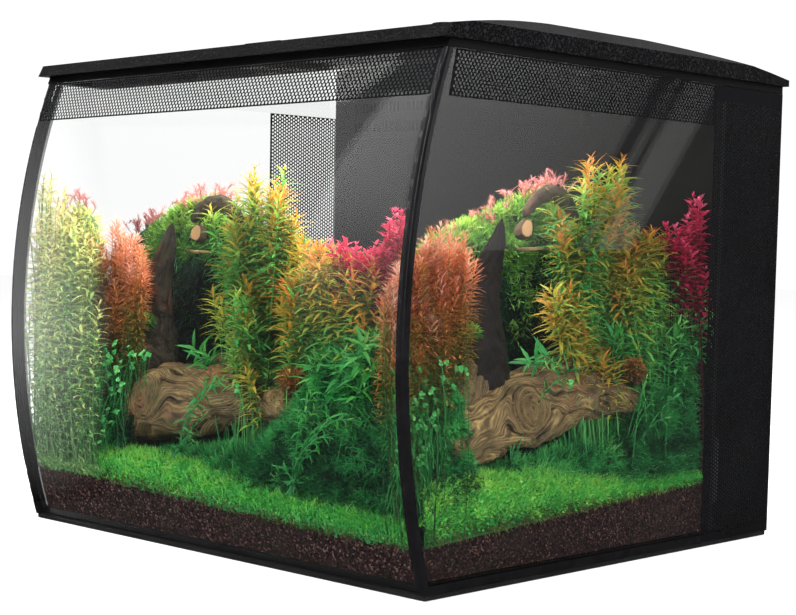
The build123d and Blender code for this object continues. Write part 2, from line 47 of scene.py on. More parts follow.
# ------------------------------------------------------------ driving dimensions
R_BOW, Y_BOW, Z_BOW = 486.2, 281.9, 145.5   # bowed front pane, outer face
Z_BAND, X2, Y2, T = 291.8, 200.0, 182.0, 5.0
XI = X2 - T
Y_PART = 114.0


def bow(z, off=0.0):
    return Y_BOW - np.sqrt((R_BOW - off) ** 2 - (z - Z_BOW) ** 2)


def bed(x, y):
    """Height of the gravel at x, y: it climbs to the rear and to the left."""
    t = np.clip((y + 180.4) / 294.2, 0, 1)
    left = np.clip((130 - x) / 250, 0, 1)
    side = np.clip((x - 120) / 70, 0, 1)
    return 29.0 + 15.0 * t + 9.5 * left * (1 - t) + 1.5 * side * t


# ------------------------------------------------------------ node helpers
def mat(name):
    m = bpy.data.materials.new(name)
    m.use_nodes = True
    m.node_tree.nodes.clear()
    return m, m.node_tree


def nd(nt, kind, **kw):
    n = nt.nodes.new(kind)
    for k, v in kw.items():
        if k.startswith("i_"):
            sock = n.inputs[k[2:].replace("_", " ")]
        elif k.startswith("n_"):
            sock = n.inputs[int(k[2:])]
        else:
            setattr(n, k, v)
            continue
        if isinstance(v, bpy.types.NodeSocket):
            nt.links.new(v, sock)
        else:
            sock.default_value = v
    return n


def coords(nt, scale=(1, 1, 1), rot=(0, 0, 0), loc=(0, 0, 0)):
    tc = nd(nt, "ShaderNodeTexCoord")
    mp = nd(nt, "ShaderNodeMapping", i_Vector=tc.outputs["Object"])
    mp.inputs["Scale"].default_value = scale
    mp.inputs["Rotation"].default_value = rot
    mp.inputs["Location"].default_value = loc
    return mp.outputs[0]


def noise(nt, vec, scale, detail=4.0, rough=0.55, dist=0.0):
    n = nd(nt, "ShaderNodeTexNoise", i_Vector=vec, i_Scale=scale, i_Detail=detail,
           i_Roughness=rough, i_Distortion=dist)
    return n.outputs["Fac"]


def voronoi(nt, vec, scale, feature="F1", out="Distance", rnd=1.0):
    n = nd(nt, "ShaderNodeTexVoronoi", i_Vector=vec, i_Scale=scale, feature=feature)
    n.inputs["Randomness"].default_value = rnd
    return n.outputs[out]


def ramp(nt, fac, stops, interp="LINEAR"):
    n = nd(nt, "ShaderNodeValToRGB", i_Fac=fac)
    cr = n.color_ramp
    cr.interpolation = interp
    while len(cr.elements) < len(stops):
        cr.elements.new(0.5)
    for e, (pos, col) in zip(cr.elements, stops):
        e.position = pos
        e.color = tuple(col) + (1.0,) if len(col) == 3 else col
    return n.outputs["Color"]


def rng_map(nt, val, a, b, c, d):
    n = nd(nt, "ShaderNodeMapRange", i_Value=val)
    n.inputs["From Min"].default_value = a
    n.inputs["From Max"].default_value = b
    n.inputs["To Min"].default_value = c
    n.inputs["To Max"].default_value = d
    return n.outputs["Result"]


def math_(nt, op, a, b=0.0, clamp=False):
    n = nd(nt, "ShaderNodeMath", operation=op, use_clamp=clamp)
    for i, v in enumerate((a, b)):
        if isinstance(v, bpy.types.NodeSocket):
            nt.links.new(v, n.inputs[i])
        else:
            n.inputs[i].default_value = v
    return n.outputs[0]


def mixc(nt, fac, a, b, blend="MIX"):
    n = nd(nt, "ShaderNodeMix", data_type="RGBA", blend_type=blend)
    for sock, v in ((n.inputs[0], fac), (n.inputs[6], a), (n.inputs[7], b)):
        if isinstance(v, bpy.types.NodeSocket):
            nt.links.new(v, sock)
        else:
            sock.default_value = (tuple(v) + (1.0,)) if isinstance(v, (tuple, list)) and len(v) == 3 else v
    return n.outputs[2]


def bump(nt, height, strength, dist_mm, normal=None):
    n = nd(nt, "ShaderNodeBump", i_Height=height, i_Strength=strength, i_Distance=dist_mm * MM)
    if normal is not None:
        nt.links.new(normal, n.inputs["Normal"])
    return n.outputs[0]


def attr(nt, name, out="Fac"):
    return nd(nt, "ShaderNodeAttribute", attribute_name=name).outputs[out]


def principled(nt, base, rough, normal=None, **const):
    p = nd(nt, "ShaderNodeBsdfPrincipled")
    for name, v in (("Base Color", base), ("Roughness", rough), ("Normal", normal)):
        if v is None:
            continue
        if isinstance(v, bpy.types.NodeSocket):
            nt.links.new(v, p.inputs[name])
        else:
            p.inputs[name].default_value = v if not isinstance(v, tuple) else tuple(v) + (1.0,)
    for k, v in const.items():
        key = k.replace("_", " ")
        if key == "IOR Level":
            key = "Specular IOR Level"
        p.inputs[key].default_value = v
    return p


def output(nt, shader):
    o = nd(nt, "ShaderNodeOutputMaterial")
    nt.links.new(shader, o.inputs["Surface"])


def grain_mat(name, lo, hi, r0, r1, scale, bump_mm, strength=0.5, big=18.0, spec=0.5,
              metallic=0.0, coat=0.0, streak=None, cell=False):
    """Moulded or printed surface: cloudy colour, fine grain, uneven gloss."""
    m, nt = mat(name)
    v = coords(nt)
    if streak:
        v2 = coords(nt, scale=streak)
    else:
        v2 = v
    cloud = noise(nt, v, big, 5, 0.6)
    fine = noise(nt, v2, scale, 3, 0.6)
    f = math_(nt, "ADD", math_(nt, "MULTIPLY", cloud, 0.6), math_(nt, "MULTIPLY", fine, 0.4))
    col = ramp(nt, f, [(0.35, lo), (0.65, hi)])
    rough = rng_map(nt, cloud, 0.3, 0.7, r0, r1)
    h = voronoi(nt, v2, scale, "SMOOTH_F1") if cell else fine
    nrm = bump(nt, h, strength, bump_mm)
    p = principled(nt, col, rough, nrm, Metallic=metallic, IOR_Level=spec, Coat_Weight=coat)
    output(nt, p.outputs[0])
    return m


def set_mat(name, m, bevel=None, angle=30):
    o = nodes[name]
    o.data.materials.clear()
    o.data.materials.append(m)
    if bevel:
        w = o.modifiers.new("weld", "WELD")
        w.merge_threshold = 1e-6
        b = o.modifiers.new("bevel", "BEVEL")
        b.width = bevel * MM
        b.segments = 3
        b.limit_method = "ANGLE"
        b.angle_limit = math.radians(angle)
        b.use_clamp_overlap = True
        b.harden_normals = False
    return o


# ------------------------------------------------------------ mesh helpers
def build(name, verts, faces, m, attrs=None, body="tank", smooth=True,
          replaces=()):
    """Mesh from mm vertices and a list of face arrays of one width each."""
    me = bpy.data.meshes.new(name)
    verts = np.asarray(verts, np.float32).reshape(-1, 3) * MM
    me.vertices.add(len(verts))
    me.vertices.foreach_set("co", verts.ravel())
    faces = [np.asarray(f, np.int32) for f in faces if len(f)]
    loops = np.concatenate([f.ravel() for f in faces])
    sizes = np.concatenate([np.full(len(f), f.shape[1], np.int32) for f in faces])
    starts = np.concatenate([[0], np.cumsum(sizes)[:-1]]).astype(np.int32)
    me.loops.add(len(loops))
    me.loops.foreach_set("vertex_index", loops)
    me.polygons.add(len(sizes))
    me.polygons.foreach_set("loop_start", starts)
    me.polygons.foreach_set("loop_total", sizes)
    me.update(calc_edges=True)
    me.validate()
    for k, v in (attrs or {}).items():
        a = me.attributes.new(k, "FLOAT", "POINT")
        a.data.foreach_set("value", np.asarray(v, np.float32).ravel())
    me.polygons.foreach_set("use_smooth", np.full(len(me.polygons), smooth))
    me.materials.append(m)
    o = bpy.data.objects.new(name, me)
    scene.collection.objects.link(o)
    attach(o, body)
    if replaces:
        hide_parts(*replaces)
    return o


def unit(v):
    return v / np.maximum(np.linalg.norm(v, axis=-1, keepdims=True), 1e-9)


PROFILES = {
    "lance": lambda s: (np.sin(np.pi * np.clip(s * 0.93 + 0.07, 0, 1)) ** 0.8) * (1 - 0.35 * s) + 0.05,
    "oval": lambda s: np.sin(np.pi * np.clip(s * 0.94 + 0.05, 0, 1)) ** 0.6 + 0.04,
    "needle": lambda s: 0.9 - 0.75 * s,
    "round": lambda s: np.sqrt(np.clip(1 - (2 * s - 1) ** 2, 0, 1)) + 0.06,
}


def leaves(P, D, Nn, L, Wd, curl, fold, seg=4, shape="lance", wave=0.0, seed=1):
    """Folded, curling blades.  Returns vertices (n, seg+1, 3, 3), quads and s."""
    n = len(P)
    D = unit(D)
    B = unit(np.cross(D, Nn))
    Nn = np.cross(B, D)
    L = np.broadcast_to(np.asarray(L, float), (n,))
    Wd = np.broadcast_to(np.asarray(Wd, float), (n,))
    curl = np.broadcast_to(np.asarray(curl, float), (n,))
    s = np.linspace(0, 1, seg + 1)
    prof = PROFILES[shape](s)
    c = (P[:, None, :] + L[:, None, None] * (s[None, :, None] * D[:, None, :]
         - 0.5 * curl[:, None, None] * (s ** 2)[None, :, None] * Nn[:, None, :]))
    w = (Wd[:, None] * prof[None, :] * 0.5)[..., None]
    g = np.random.default_rng(seed)
    wv = (g.normal(0, 1, (n, seg + 1, 1)) * wave) * w
    lift = Nn[:, None, :] * (fold * w)
    left = c - B[:, None, :] * w + lift + Nn[:, None, :] * wv
    right = c + B[:, None, :] * w + lift - Nn[:, None, :] * wv
    V = np.stack([left, c, right], axis=2)
    base = (np.arange(n) * (seg + 1) * 3)[:, None]
    q = []
    for j in range(seg):
        a = base + j * 3
        b = a + 3
        q.append(np.concatenate([a, a + 1, b + 1, b], 1))
        q.append(np.concatenate([a + 1, a + 2, b + 2, b + 1], 1))
    q = np.concatenate(q)
    S = np.broadcast_to(s[None, :, None], (n, seg + 1, 3))
    return V.reshape(-1, 3), q, S.reshape(-1)


def tubes(path, rad, sides=5):
    """Tubes along paths (n, k, 3) with radii (n, k)."""
    n, k, _ = path.shape
    d = unit(np.gradient(path, axis=1))
    ref = np.where(np.abs(d[..., 2:3]) > 0.8, np.array([1.0, 0, 0]), np.array([0, 0, 1.0]))
    a = unit(np.cross(d, ref))
    b = np.cross(d, a)
    th = np.linspace(0, 2 * np.pi, sides, endpoint=False)
    ring = (a[:, :, None, :] * np.cos(th)[None, None, :, None]
            + b[:, :, None, :] * np.sin(th)[None, None, :, None])
    V = path[:, :, None, :] + ring * rad[:, :, None, None]
    base = (np.arange(n) * k * sides)[:, None, None]
    i = np.arange(k - 1)[None, :, None] * sides
    j = np.arange(sides)[None, None, :]
    a0 = base + i + j
    a1 = base + i + (j + 1) % sides
    q = np.stack([a0, a1, a1 + sides, a0 + sides], -1).reshape(-1, 4)
    s = np.broadcast_to(np.linspace(0, 1, k)[None, :, None], (n, k, sides))
    return V.reshape(-1, 3), q, s.reshape(-1)


class Heap:
    """Collects vertices, quads and attributes of many small pieces."""

    def __init__(self):
        self.v, self.q, self.a, self.n = [], [], {}, 0

    def put(self, v, q, **at):
        self.v.append(v)
        self.q.append(q + self.n)
        for k, x in at.items():
            self.a.setdefault(k, []).append(np.broadcast_to(np.asarray(x, float), (len(v),)))
        self.n += len(v)

    def make(self, name, m, replaces=()):
        """One mesh of all pieces, pressed back where it would meet a pane or the lid."""
        v = np.concatenate(self.v)
        g = np.random.default_rng(len(v))
        soft = g.uniform(0.6, 2.2, len(v))
        v[:, 0] = np.clip(v[:, 0], -XI + soft, XI - soft)
        v[:, 2] = np.clip(v[:, 2], 10.0, 300.0)
        v[:, 1] = np.clip(v[:, 1], bow(v[:, 2], T) + soft, Y_PART - soft)
        return build(name, v, [np.concatenate(self.q)], m,
                     {k: np.concatenate(x) for k, x in self.a.items()}, replaces=replaces)


def vnoise(p, seed=0):
    """Smooth value noise of points (n, 3), in -1..1."""
    p = np.asarray(p, float)
    i = np.floor(p).astype(np.int64)
    f = p - i
    f = f * f * (3 - 2 * f)
    out = np.zeros(len(p))
    for dx in (0, 1):
        for dy in (0, 1):
            for dz in (0, 1):
                x, y, z = i[:, 0] + dx, i[:, 1] + dy, i[:, 2] + dz
                h = (x * 374761393 + y * 668265263 + z * 2147483647 + seed * 1274126177) & 0xFFFFFFFF
                h = ((h ^ (h >> 13)) * 1274126177) & 0xFFFFFFFF
                h = (h ^ (h >> 16)) & 0xFFFFFF
                val = h / float(0xFFFFFF) * 2 - 1
                wgt = (f[:, 0] if dx else 1 - f[:, 0]) * (f[:, 1] if dy else 1 - f[:, 1]) * (f[:, 2] if dz else 1 - f[:, 2])
                out += val * wgt
    return out


def fbm(p, octs=4, seed=0, lac=2.0, gain=0.5):
    a, s, out = 1.0, 1.0, 0.0
    for k in range(octs):
        out = out + a * vnoise(np.asarray(p) * s, seed + 17 * k)
        a *= gain
        s *= lac
    return out


# ------------------------------------------------------------ camera
AZ, EL, ROLL, F_PX = map(float, (44.371, 4.902, 1.040, 1688.3))
az, el, ro = (math.radians(v) for v in (AZ, EL, ROLL))
back = Vector((math.sin(az) * math.cos(el), -math.cos(az) * math.cos(el), math.sin(el)))
right = (-back).cross(Vector((0, 0, 1))).normalized()
up = right.cross(-back)
cam_r = right * math.cos(ro) + up * math.sin(ro)
cam_u = -right * math.sin(ro) + up * math.cos(ro)
cam_data = bpy.data.cameras.new("camera")
cam = bpy.data.objects.new("camera", cam_data)
scene.collection.objects.link(cam)
cam_data.sensor_width = 36.0
cam_data.lens = F_PX / 796.0 * 36.0
cam_data.shift_x = 0.0
cam_data.shift_y = (392.6 - 307.5) / 796.0
cam_data.clip_start, cam_data.clip_end = 0.05, 50.0
rot = Matrix((cam_r, cam_u, back)).transposed().to_4x4()
cam.matrix_world = Matrix.Translation((0.863007, -0.885172, 0.204606)) @ rot
scene.camera = cam
scene.view_settings.view_transform = "Standard"
scene.view_settings.look = "None"
scene.cycles.max_bounces = 10
scene.cycles.transparent_max_bounces = 24
scene.cycles.caustics_reflective = False
scene.cycles.caustics_refractive = False

# ------------------------------------------------------------ materials
BLACK = (0.010, 0.010, 0.011)
M = {}
M["silicone"] = grain_mat("black_silicone", (0.0022, 0.0022, 0.0026), (0.0060, 0.0060, 0.0068), 0.12, 0.24, 260, 0.05, 0.25, big=30, spec=0.22)
M["mat_foam"] = grain_mat("mat_foam", (0.004, 0.004, 0.004), (0.012, 0.012, 0.012), 0.7, 0.9, 900, 0.25, 0.8, cell=True, spec=0.15)
# rim of black plastic: partly its own colour, partly painted shade, made darker so it stands in for the shadow line
# under the lid
M["rim"] = grain_mat("rim_plastic", (0.0020, 0.0020, 0.0023), (0.0060, 0.0060, 0.0064), 0.40, 0.55, 1400, 0.05, 0.4, spec=0.08)
M["film"] = grain_mat("print_film", (0.002, 0.002, 0.0024), (0.005, 0.005, 0.006), 0.45, 0.6, 500, 0.02, 0.3, spec=0.08)
M["rear_film"] = grain_mat("rear_print", (0.008, 0.008, 0.009), (0.012, 0.012, 0.013), 0.31, 0.36, 300, 0.03, 0.3, big=9)
M["tank_plastic"] = grain_mat("tank_plastic", (0.020, 0.020, 0.021), (0.046, 0.046, 0.048), 0.35, 0.5, 1200, 0.05, 0.5)
M["rubber"] = grain_mat("rubber", (0.010, 0.010, 0.010), (0.022, 0.022, 0.021), 0.6, 0.8, 1500, 0.06, 0.5)
M["ceramic"] = grain_mat("ceramic", (0.72, 0.70, 0.66), (0.84, 0.83, 0.80), 0.22, 0.34, 900, 0.02, 0.3)
M["impeller"] = grain_mat("impeller_plastic", (0.42, 0.46, 0.50), (0.58, 0.62, 0.66), 0.3, 0.45, 1200, 0.03, 0.4)
M["steel"] = grain_mat("steel", (0.48, 0.48, 0.49), (0.66, 0.66, 0.67), 0.18, 0.34, 1600, 0.02, 0.4, metallic=1.0, streak=(1, 1, 12))
M["pcb"] = grain_mat("circuit_board", (0.78, 0.79, 0.78), (0.88, 0.89, 0.88), 0.3, 0.45, 700, 0.02, 0.4)


def lid_material():
    m, nt = mat("lid_plastic")
    v = coords(nt)
    cloud = noise(nt, v, 14, 5, 0.6)
    grit = voronoi(nt, v, 760, "F1")
    fine = noise(nt, v, 1250, 3, 0.75)
    mixn = math_(nt, "ADD", math_(nt, "MULTIPLY", fine, 0.6), math_(nt, "MULTIPLY", grit, 0.4))
    col = ramp(nt, mixn, [(0.34, (0.0005, 0.0005, 0.0007)), (0.50, (0.0018, 0.0018, 0.0022)), (0.68, (0.014, 0.014, 0.015))])
    rough = rng_map(nt, cloud, 0.3, 0.7, 0.44, 0.60)
    nrm = bump(nt, mixn, 0.9, 0.30)
    p = principled(nt, col, rough, nrm, IOR_Level=0.07)
    output(nt, p.outputs[0])
    return m


M["lid"] = lid_material()


def glass_material(name, tint, f0, smudge, bonded=False):
    m, nt = mat(name)
    v = coords(nt)
    sm = noise(nt, v, 9, 6, 0.65, 0.6)
    rough = rng_map(nt, sm, 0.35, 0.75, 0.0, smudge)
    tr = nd(nt, "ShaderNodeBsdfTransparent")
    tr.inputs["Color"].default_value = tint
    gl = nd(nt, "ShaderNodeBsdfGlossy", i_Roughness=rough)
    gl.inputs["Color"].default_value = (1, 1, 1, 1)
    lw = nd(nt, "ShaderNodeLayerWeight", i_Blend=0.5)
    fr = rng_map(nt, math_(nt, "POWER", lw.outputs["Facing"], 5.0), 0.0, 1.0, f0, 0.85)
    mx = nd(nt, "ShaderNodeMixShader")
    nt.links.new(fr, mx.inputs[0])
    nt.links.new(tr.outputs[0], mx.inputs[1])
    nt.links.new(gl.outputs[0], mx.inputs[2])
    if bonded:
        # the front and bottom edges of a side pane are bedded in black silicone
        n_ = nd(nt, "ShaderNodeSeparateXYZ", i_Vector=nd(nt, "ShaderNodeTexCoord").outputs["Normal"])
        z_ = nd(nt, "ShaderNodeSeparateXYZ", i_Vector=v)
        p = principled(nt, ramp(nt, noise(nt, v, 120, 3), [(0.3, (0.0022, 0.0022, 0.0026)), (0.7, (0.0060, 0.0060, 0.0066))]),
                       rng_map(nt, sm, 0.3, 0.7, 0.2, 0.4), IOR_Level=0.12)
        m2 = nd(nt, "ShaderNodeMixShader", i_Fac=math_(nt, "MAXIMUM", math_(nt, "LESS_THAN", n_.outputs["Y"], -0.7), math_(nt, "LESS_THAN", z_.outputs["Z"], 0.0086)))
        nt.links.new(mx.outputs[0], m2.inputs[1])
        nt.links.new(p.outputs[0], m2.inputs[2])
        mx = m2
    output(nt, mx.outputs[0])
    return m


M["glass"] = glass_material("clear_glass", (0.995, 0.998, 0.996, 1), 0.022, 0.05)
M["glass_side"] = glass_material("clear_glass_side", (0.995, 0.998, 0.996, 1), 0.022, 0.05, True)
M["acrylic"] = glass_material("clear_acrylic", (0.86, 0.89, 0.90, 1), 0.04, 0.12)
M["hose"] = glass_material("hose_vinyl", (0.62, 0.68, 0.66, 1), 0.035, 0.25)
M["lens"] = glass_material("lamp_lens", (0.90, 0.92, 0.92, 1), 0.04, 0.3)


def partition_material():
    """Gloss black acrylic with a soft broad tonal sweep of painted reflection in its colour."""
    m, nt = mat("gloss_black")
    v = coords(nt)
    cloud = noise(nt, v, 6, 5, 0.6)
    sep = nd(nt, "ShaderNodeSeparateXYZ", i_Vector=v)
    x, z = sep.outputs["X"], sep.outputs["Z"]
    # painted reflection: the colour is lighter low down and darker towards the top
    g = rng_map(nt, z, 0.04, 0.32, 0.0, 1.0)
    base = ramp(nt, math_(nt, "ADD", math_(nt, "MULTIPLY", g, 0.7), math_(nt, "MULTIPLY", cloud, 0.3)),
                [(0.2, (0.0042, 0.0042, 0.0044)), (0.9, (0.0026, 0.0026, 0.0028))])
    rough = rng_map(nt, noise(nt, v, 40, 4), 0.3, 0.7, 0.34, 0.46)
    nrm = bump(nt, noise(nt, v, 120, 3), 0.05, 0.05)
    p = principled(nt, base, rough, nrm, IOR_Level=0.25)
    output(nt, p.outputs[0])
    return m


M["partition"] = partition_material()


def led_material():
    m, nt = mat("led_white")
    v = coords(nt)
    vor = voronoi(nt, v, 900, "F1")
    col = ramp(nt, vor, [(0.1, (0.95, 0.88, 0.55)), (0.6, (0.98, 0.97, 0.88))])
    p = principled(nt, col, rng_map(nt, vor, 0, 1, 0.25, 0.5), bump(nt, vor, 0.3, 0.1))
    nt.links.new(col, p.inputs["Emission Color"])
    p.inputs["Emission Strength"].default_value = 1.2
    output(nt, p.outputs[0])
    return m


M["led"] = led_material()


def gravel_material():
    m, nt = mat("gravel")
    v = coords(nt)
    vo = nd(nt, "ShaderNodeTexVoronoi", i_Vector=v, i_Scale=760.0)
    cell = nd(nt, "ShaderNodeSeparateColor", i_Color=vo.outputs["Color"])
    tone = cell.outputs[0]
    dark = ramp(nt, cell.outputs[1], [(0.0, (0.004, 0.0016, 0.002)), (0.45, (0.014, 0.0050, 0.0058)),
                                      (0.75, (0.036, 0.0130, 0.0125)), (1.0, (0.010, 0.0050, 0.0062))])
    spark = ramp(nt, tone, [(0.80, (0, 0, 0)), (0.90, (1, 1, 1))])
    col = mixc(nt, math_(nt, "MULTIPLY", spark, 0.7), dark, (0.180, 0.098, 0.076))
    broad = noise(nt, v, 30, 4, 0.6)
    col = mixc(nt, rng_map(nt, broad, 0.45, 0.7, 0.0, 0.45), col, (0.020, 0.017, 0.009))
    # painted shade between the grains: the colour is darkened along the cell edges
    edge = voronoi(nt, v, 760, "DISTANCE_TO_EDGE")
    gap = ramp(nt, edge, [(0.0, (0.12, 0.12, 0.12)), (0.10, (1, 1, 1))])
    col = mixc(nt, 1.0, col, gap, "MULTIPLY")
    rough = rng_map(nt, cell.outputs[2], 0, 1, 0.5, 0.9)
    dome = ramp(nt, edge, [(0.0, (0, 0, 0)), (0.28, (1, 1, 1))], "EASE")
    micro = noise(nt, v, 4200, 3, 0.7)
    h = math_(nt, "ADD", dome, math_(nt, "MULTIPLY", micro, 0.25))
    p = principled(nt, col, rough, bump(nt, h, 0.9, 0.6), IOR_Level=0.15)
    output(nt, p.outputs[0])
    return m


M["gravel"] = gravel_material()


def wood_material():
    """Bog wood: grain lines follow psi, cracks are darkened with painted shade, tone goes from brown to grey."""
    m, nt = mat("driftwood")
    v = coords(nt)
    psi, al = attr(nt, "psi"), attr(nt, "along")
    comb = nd(nt, "ShaderNodeCombineXYZ", i_X=math_(nt, "MULTIPLY", psi, 5.0), i_Y=math_(nt, "MULTIPLY", al, 1.6), i_Z=0.0)
    fibre = noise(nt, comb.outputs[0], 1.0, 5, 0.65, 0.8)
    wav = noise(nt, v, 70, 3, 0.6)
    ring = math_(nt, "SINE", math_(nt, "MULTIPLY", math_(nt, "ADD", psi, math_(nt, "MULTIPLY", wav, 0.28)), 44.0))
    line = rng_map(nt, ring, -1.0, 1.0, 0.0, 1.0)
    grain = math_(nt, "ADD", math_(nt, "MULTIPLY", fibre, 0.84), math_(nt, "MULTIPLY", line, 0.16))
    brown = ramp(nt, grain, [(0.25, (0.020, 0.010, 0.005)), (0.42, (0.082, 0.046, 0.018)),
                             (0.60, (0.220, 0.150, 0.052)), (0.80, (0.430, 0.325, 0.125))])
    grey = ramp(nt, grain, [(0.25, (0.009, 0.008, 0.007)), (0.45, (0.020, 0.018, 0.014)),
                            (0.62, (0.044, 0.040, 0.032)), (0.82, (0.090, 0.083, 0.066))])
    col = mixc(nt, attr(nt, "tone"), brown, grey)
    blot = noise(nt, v, 26, 5, 0.62)
    col = mixc(nt, rng_map(nt, blot, 0.48, 0.66, 0.0, 0.6), col, (0.030, 0.022, 0.012))
    red = noise(nt, nd(nt, "ShaderNodeMapping", i_Vector=v, i_Location=(3.0, 1.0, 2.0)).outputs[0], 40, 3)
    col = mixc(nt, rng_map(nt, red, 0.56, 0.70, 0.0, 0.4), col, (0.190, 0.060, 0.022))
    green = rng_map(nt, noise(nt, v, 55, 4, 0.7), 0.56, 0.68, 0.0, 0.5)
    col = mixc(nt, green, col, (0.050, 0.062, 0.018))
    # painted shade: the colour goes to near black in the cracks, and further wherever more shade was painted onto a
    # limb's mask
    col = mixc(nt, rng_map(nt, attr(nt, "crack_and_shade"), 0.05, 0.75, 0.0, 0.95), col, (0.006, 0.004, 0.003))
    h = math_(nt, "ADD", math_(nt, "MULTIPLY", grain, 1.0), math_(nt, "MULTIPLY", voronoi(nt, v, 260, "SMOOTH_F1"), 0.3))
    p = principled(nt, col, rng_map(nt, fibre, 0.2, 0.8, 0.5, 0.8), bump(nt, h, 1.0, 0.9), IOR_Level=0.35)
    output(nt, p.outputs[0])
    return m


M["wood"] = wood_material()


def cut_material():
    """Sawn end of a branch: tan rings inside a dark bark edge."""
    m, nt = mat("cut_wood")
    v = coords(nt)
    r = attr(nt, "r")
    wob = noise(nt, v, 220, 3)
    ring = math_(nt, "SINE", math_(nt, "MULTIPLY", math_(nt, "ADD", r, math_(nt, "MULTIPLY", wob, 0.18)), 32.0))
    face = ramp(nt, rng_map(nt, ring, -1, 1, 0, 1), [(0.1, (0.26, 0.135, 0.055)), (0.9, (0.50, 0.31, 0.15))])
    bark = ramp(nt, noise(nt, v, 400, 3), [(0.3, (0.03, 0.018, 0.010)), (0.7, (0.10, 0.060, 0.032))])
    col = mixc(nt, rng_map(nt, r, 0.86, 1.0, 0.0, 1.0), face, bark)
    p = principled(nt, col, rng_map(nt, wob, 0.3, 0.7, 0.55, 0.8), bump(nt, ring, 0.3, 0.25), IOR_Level=0.35)
    output(nt, p.outputs[0])
    return m


M["cut"] = cut_material()


def leaf_material(name, stops, tip=None, base_dark=0.35, rough=(0.32, 0.55), trans=0.35, sat=0.0):
    """Leaf colour from the tone h, blade position s and a per-leaf number rnd; h carries plant height and also painted
    shade.
    """
    m, nt = mat(name)
    h, s, rnd = attr(nt, "h"), attr(nt, "s"), attr(nt, "rnd")
    f = math_(nt, "ADD", h, math_(nt, "MULTIPLY", math_(nt, "SUBTRACT", rnd, 0.5), 0.24))
    col = ramp(nt, f, stops)
    v = coords(nt)
    mott = noise(nt, v, 420, 3, 0.6)
    col = mixc(nt, rng_map(nt, mott, 0.35, 0.75, 0.0, 0.35), col, (0.9, 0.9, 0.9), "MULTIPLY")
    # each blade is darker towards its base
    dark = mixc(nt, 1.0, col, (0.55, 0.60, 0.50), "MULTIPLY")
    col = mixc(nt, rng_map(nt, s, 0.0, 0.55, base_dark, 0.0), col, dark)
    if tip:
        col = mixc(nt, math_(nt, "MULTIPLY", rng_map(nt, s, 0.55, 1.0, 0.0, 0.8), rng_map(nt, rnd, 0.2, 0.9, 0.2, 1.0)), col, tip)
    r = rng_map(nt, mott, 0.3, 0.7, rough[0], rough[1])
    nrm = bump(nt, mott, 0.35, 0.15)
    p = principled(nt, col, r, nrm, IOR_Level=0.4)
    if trans > 0:
        tl = nd(nt, "ShaderNodeBsdfTranslucent", i_Color=mixc(nt, 1.0, col, (1.15, 1.2, 0.8), "MULTIPLY"))
        mx = nd(nt, "ShaderNodeMixShader")
        mx.inputs[0].default_value = trans
        nt.links.new(p.outputs[0], mx.inputs[1])
        nt.links.new(tl.outputs[0], mx.inputs[2])
        output(nt, mx.outputs[0])
    else:
        output(nt, p.outputs[0])
    return m


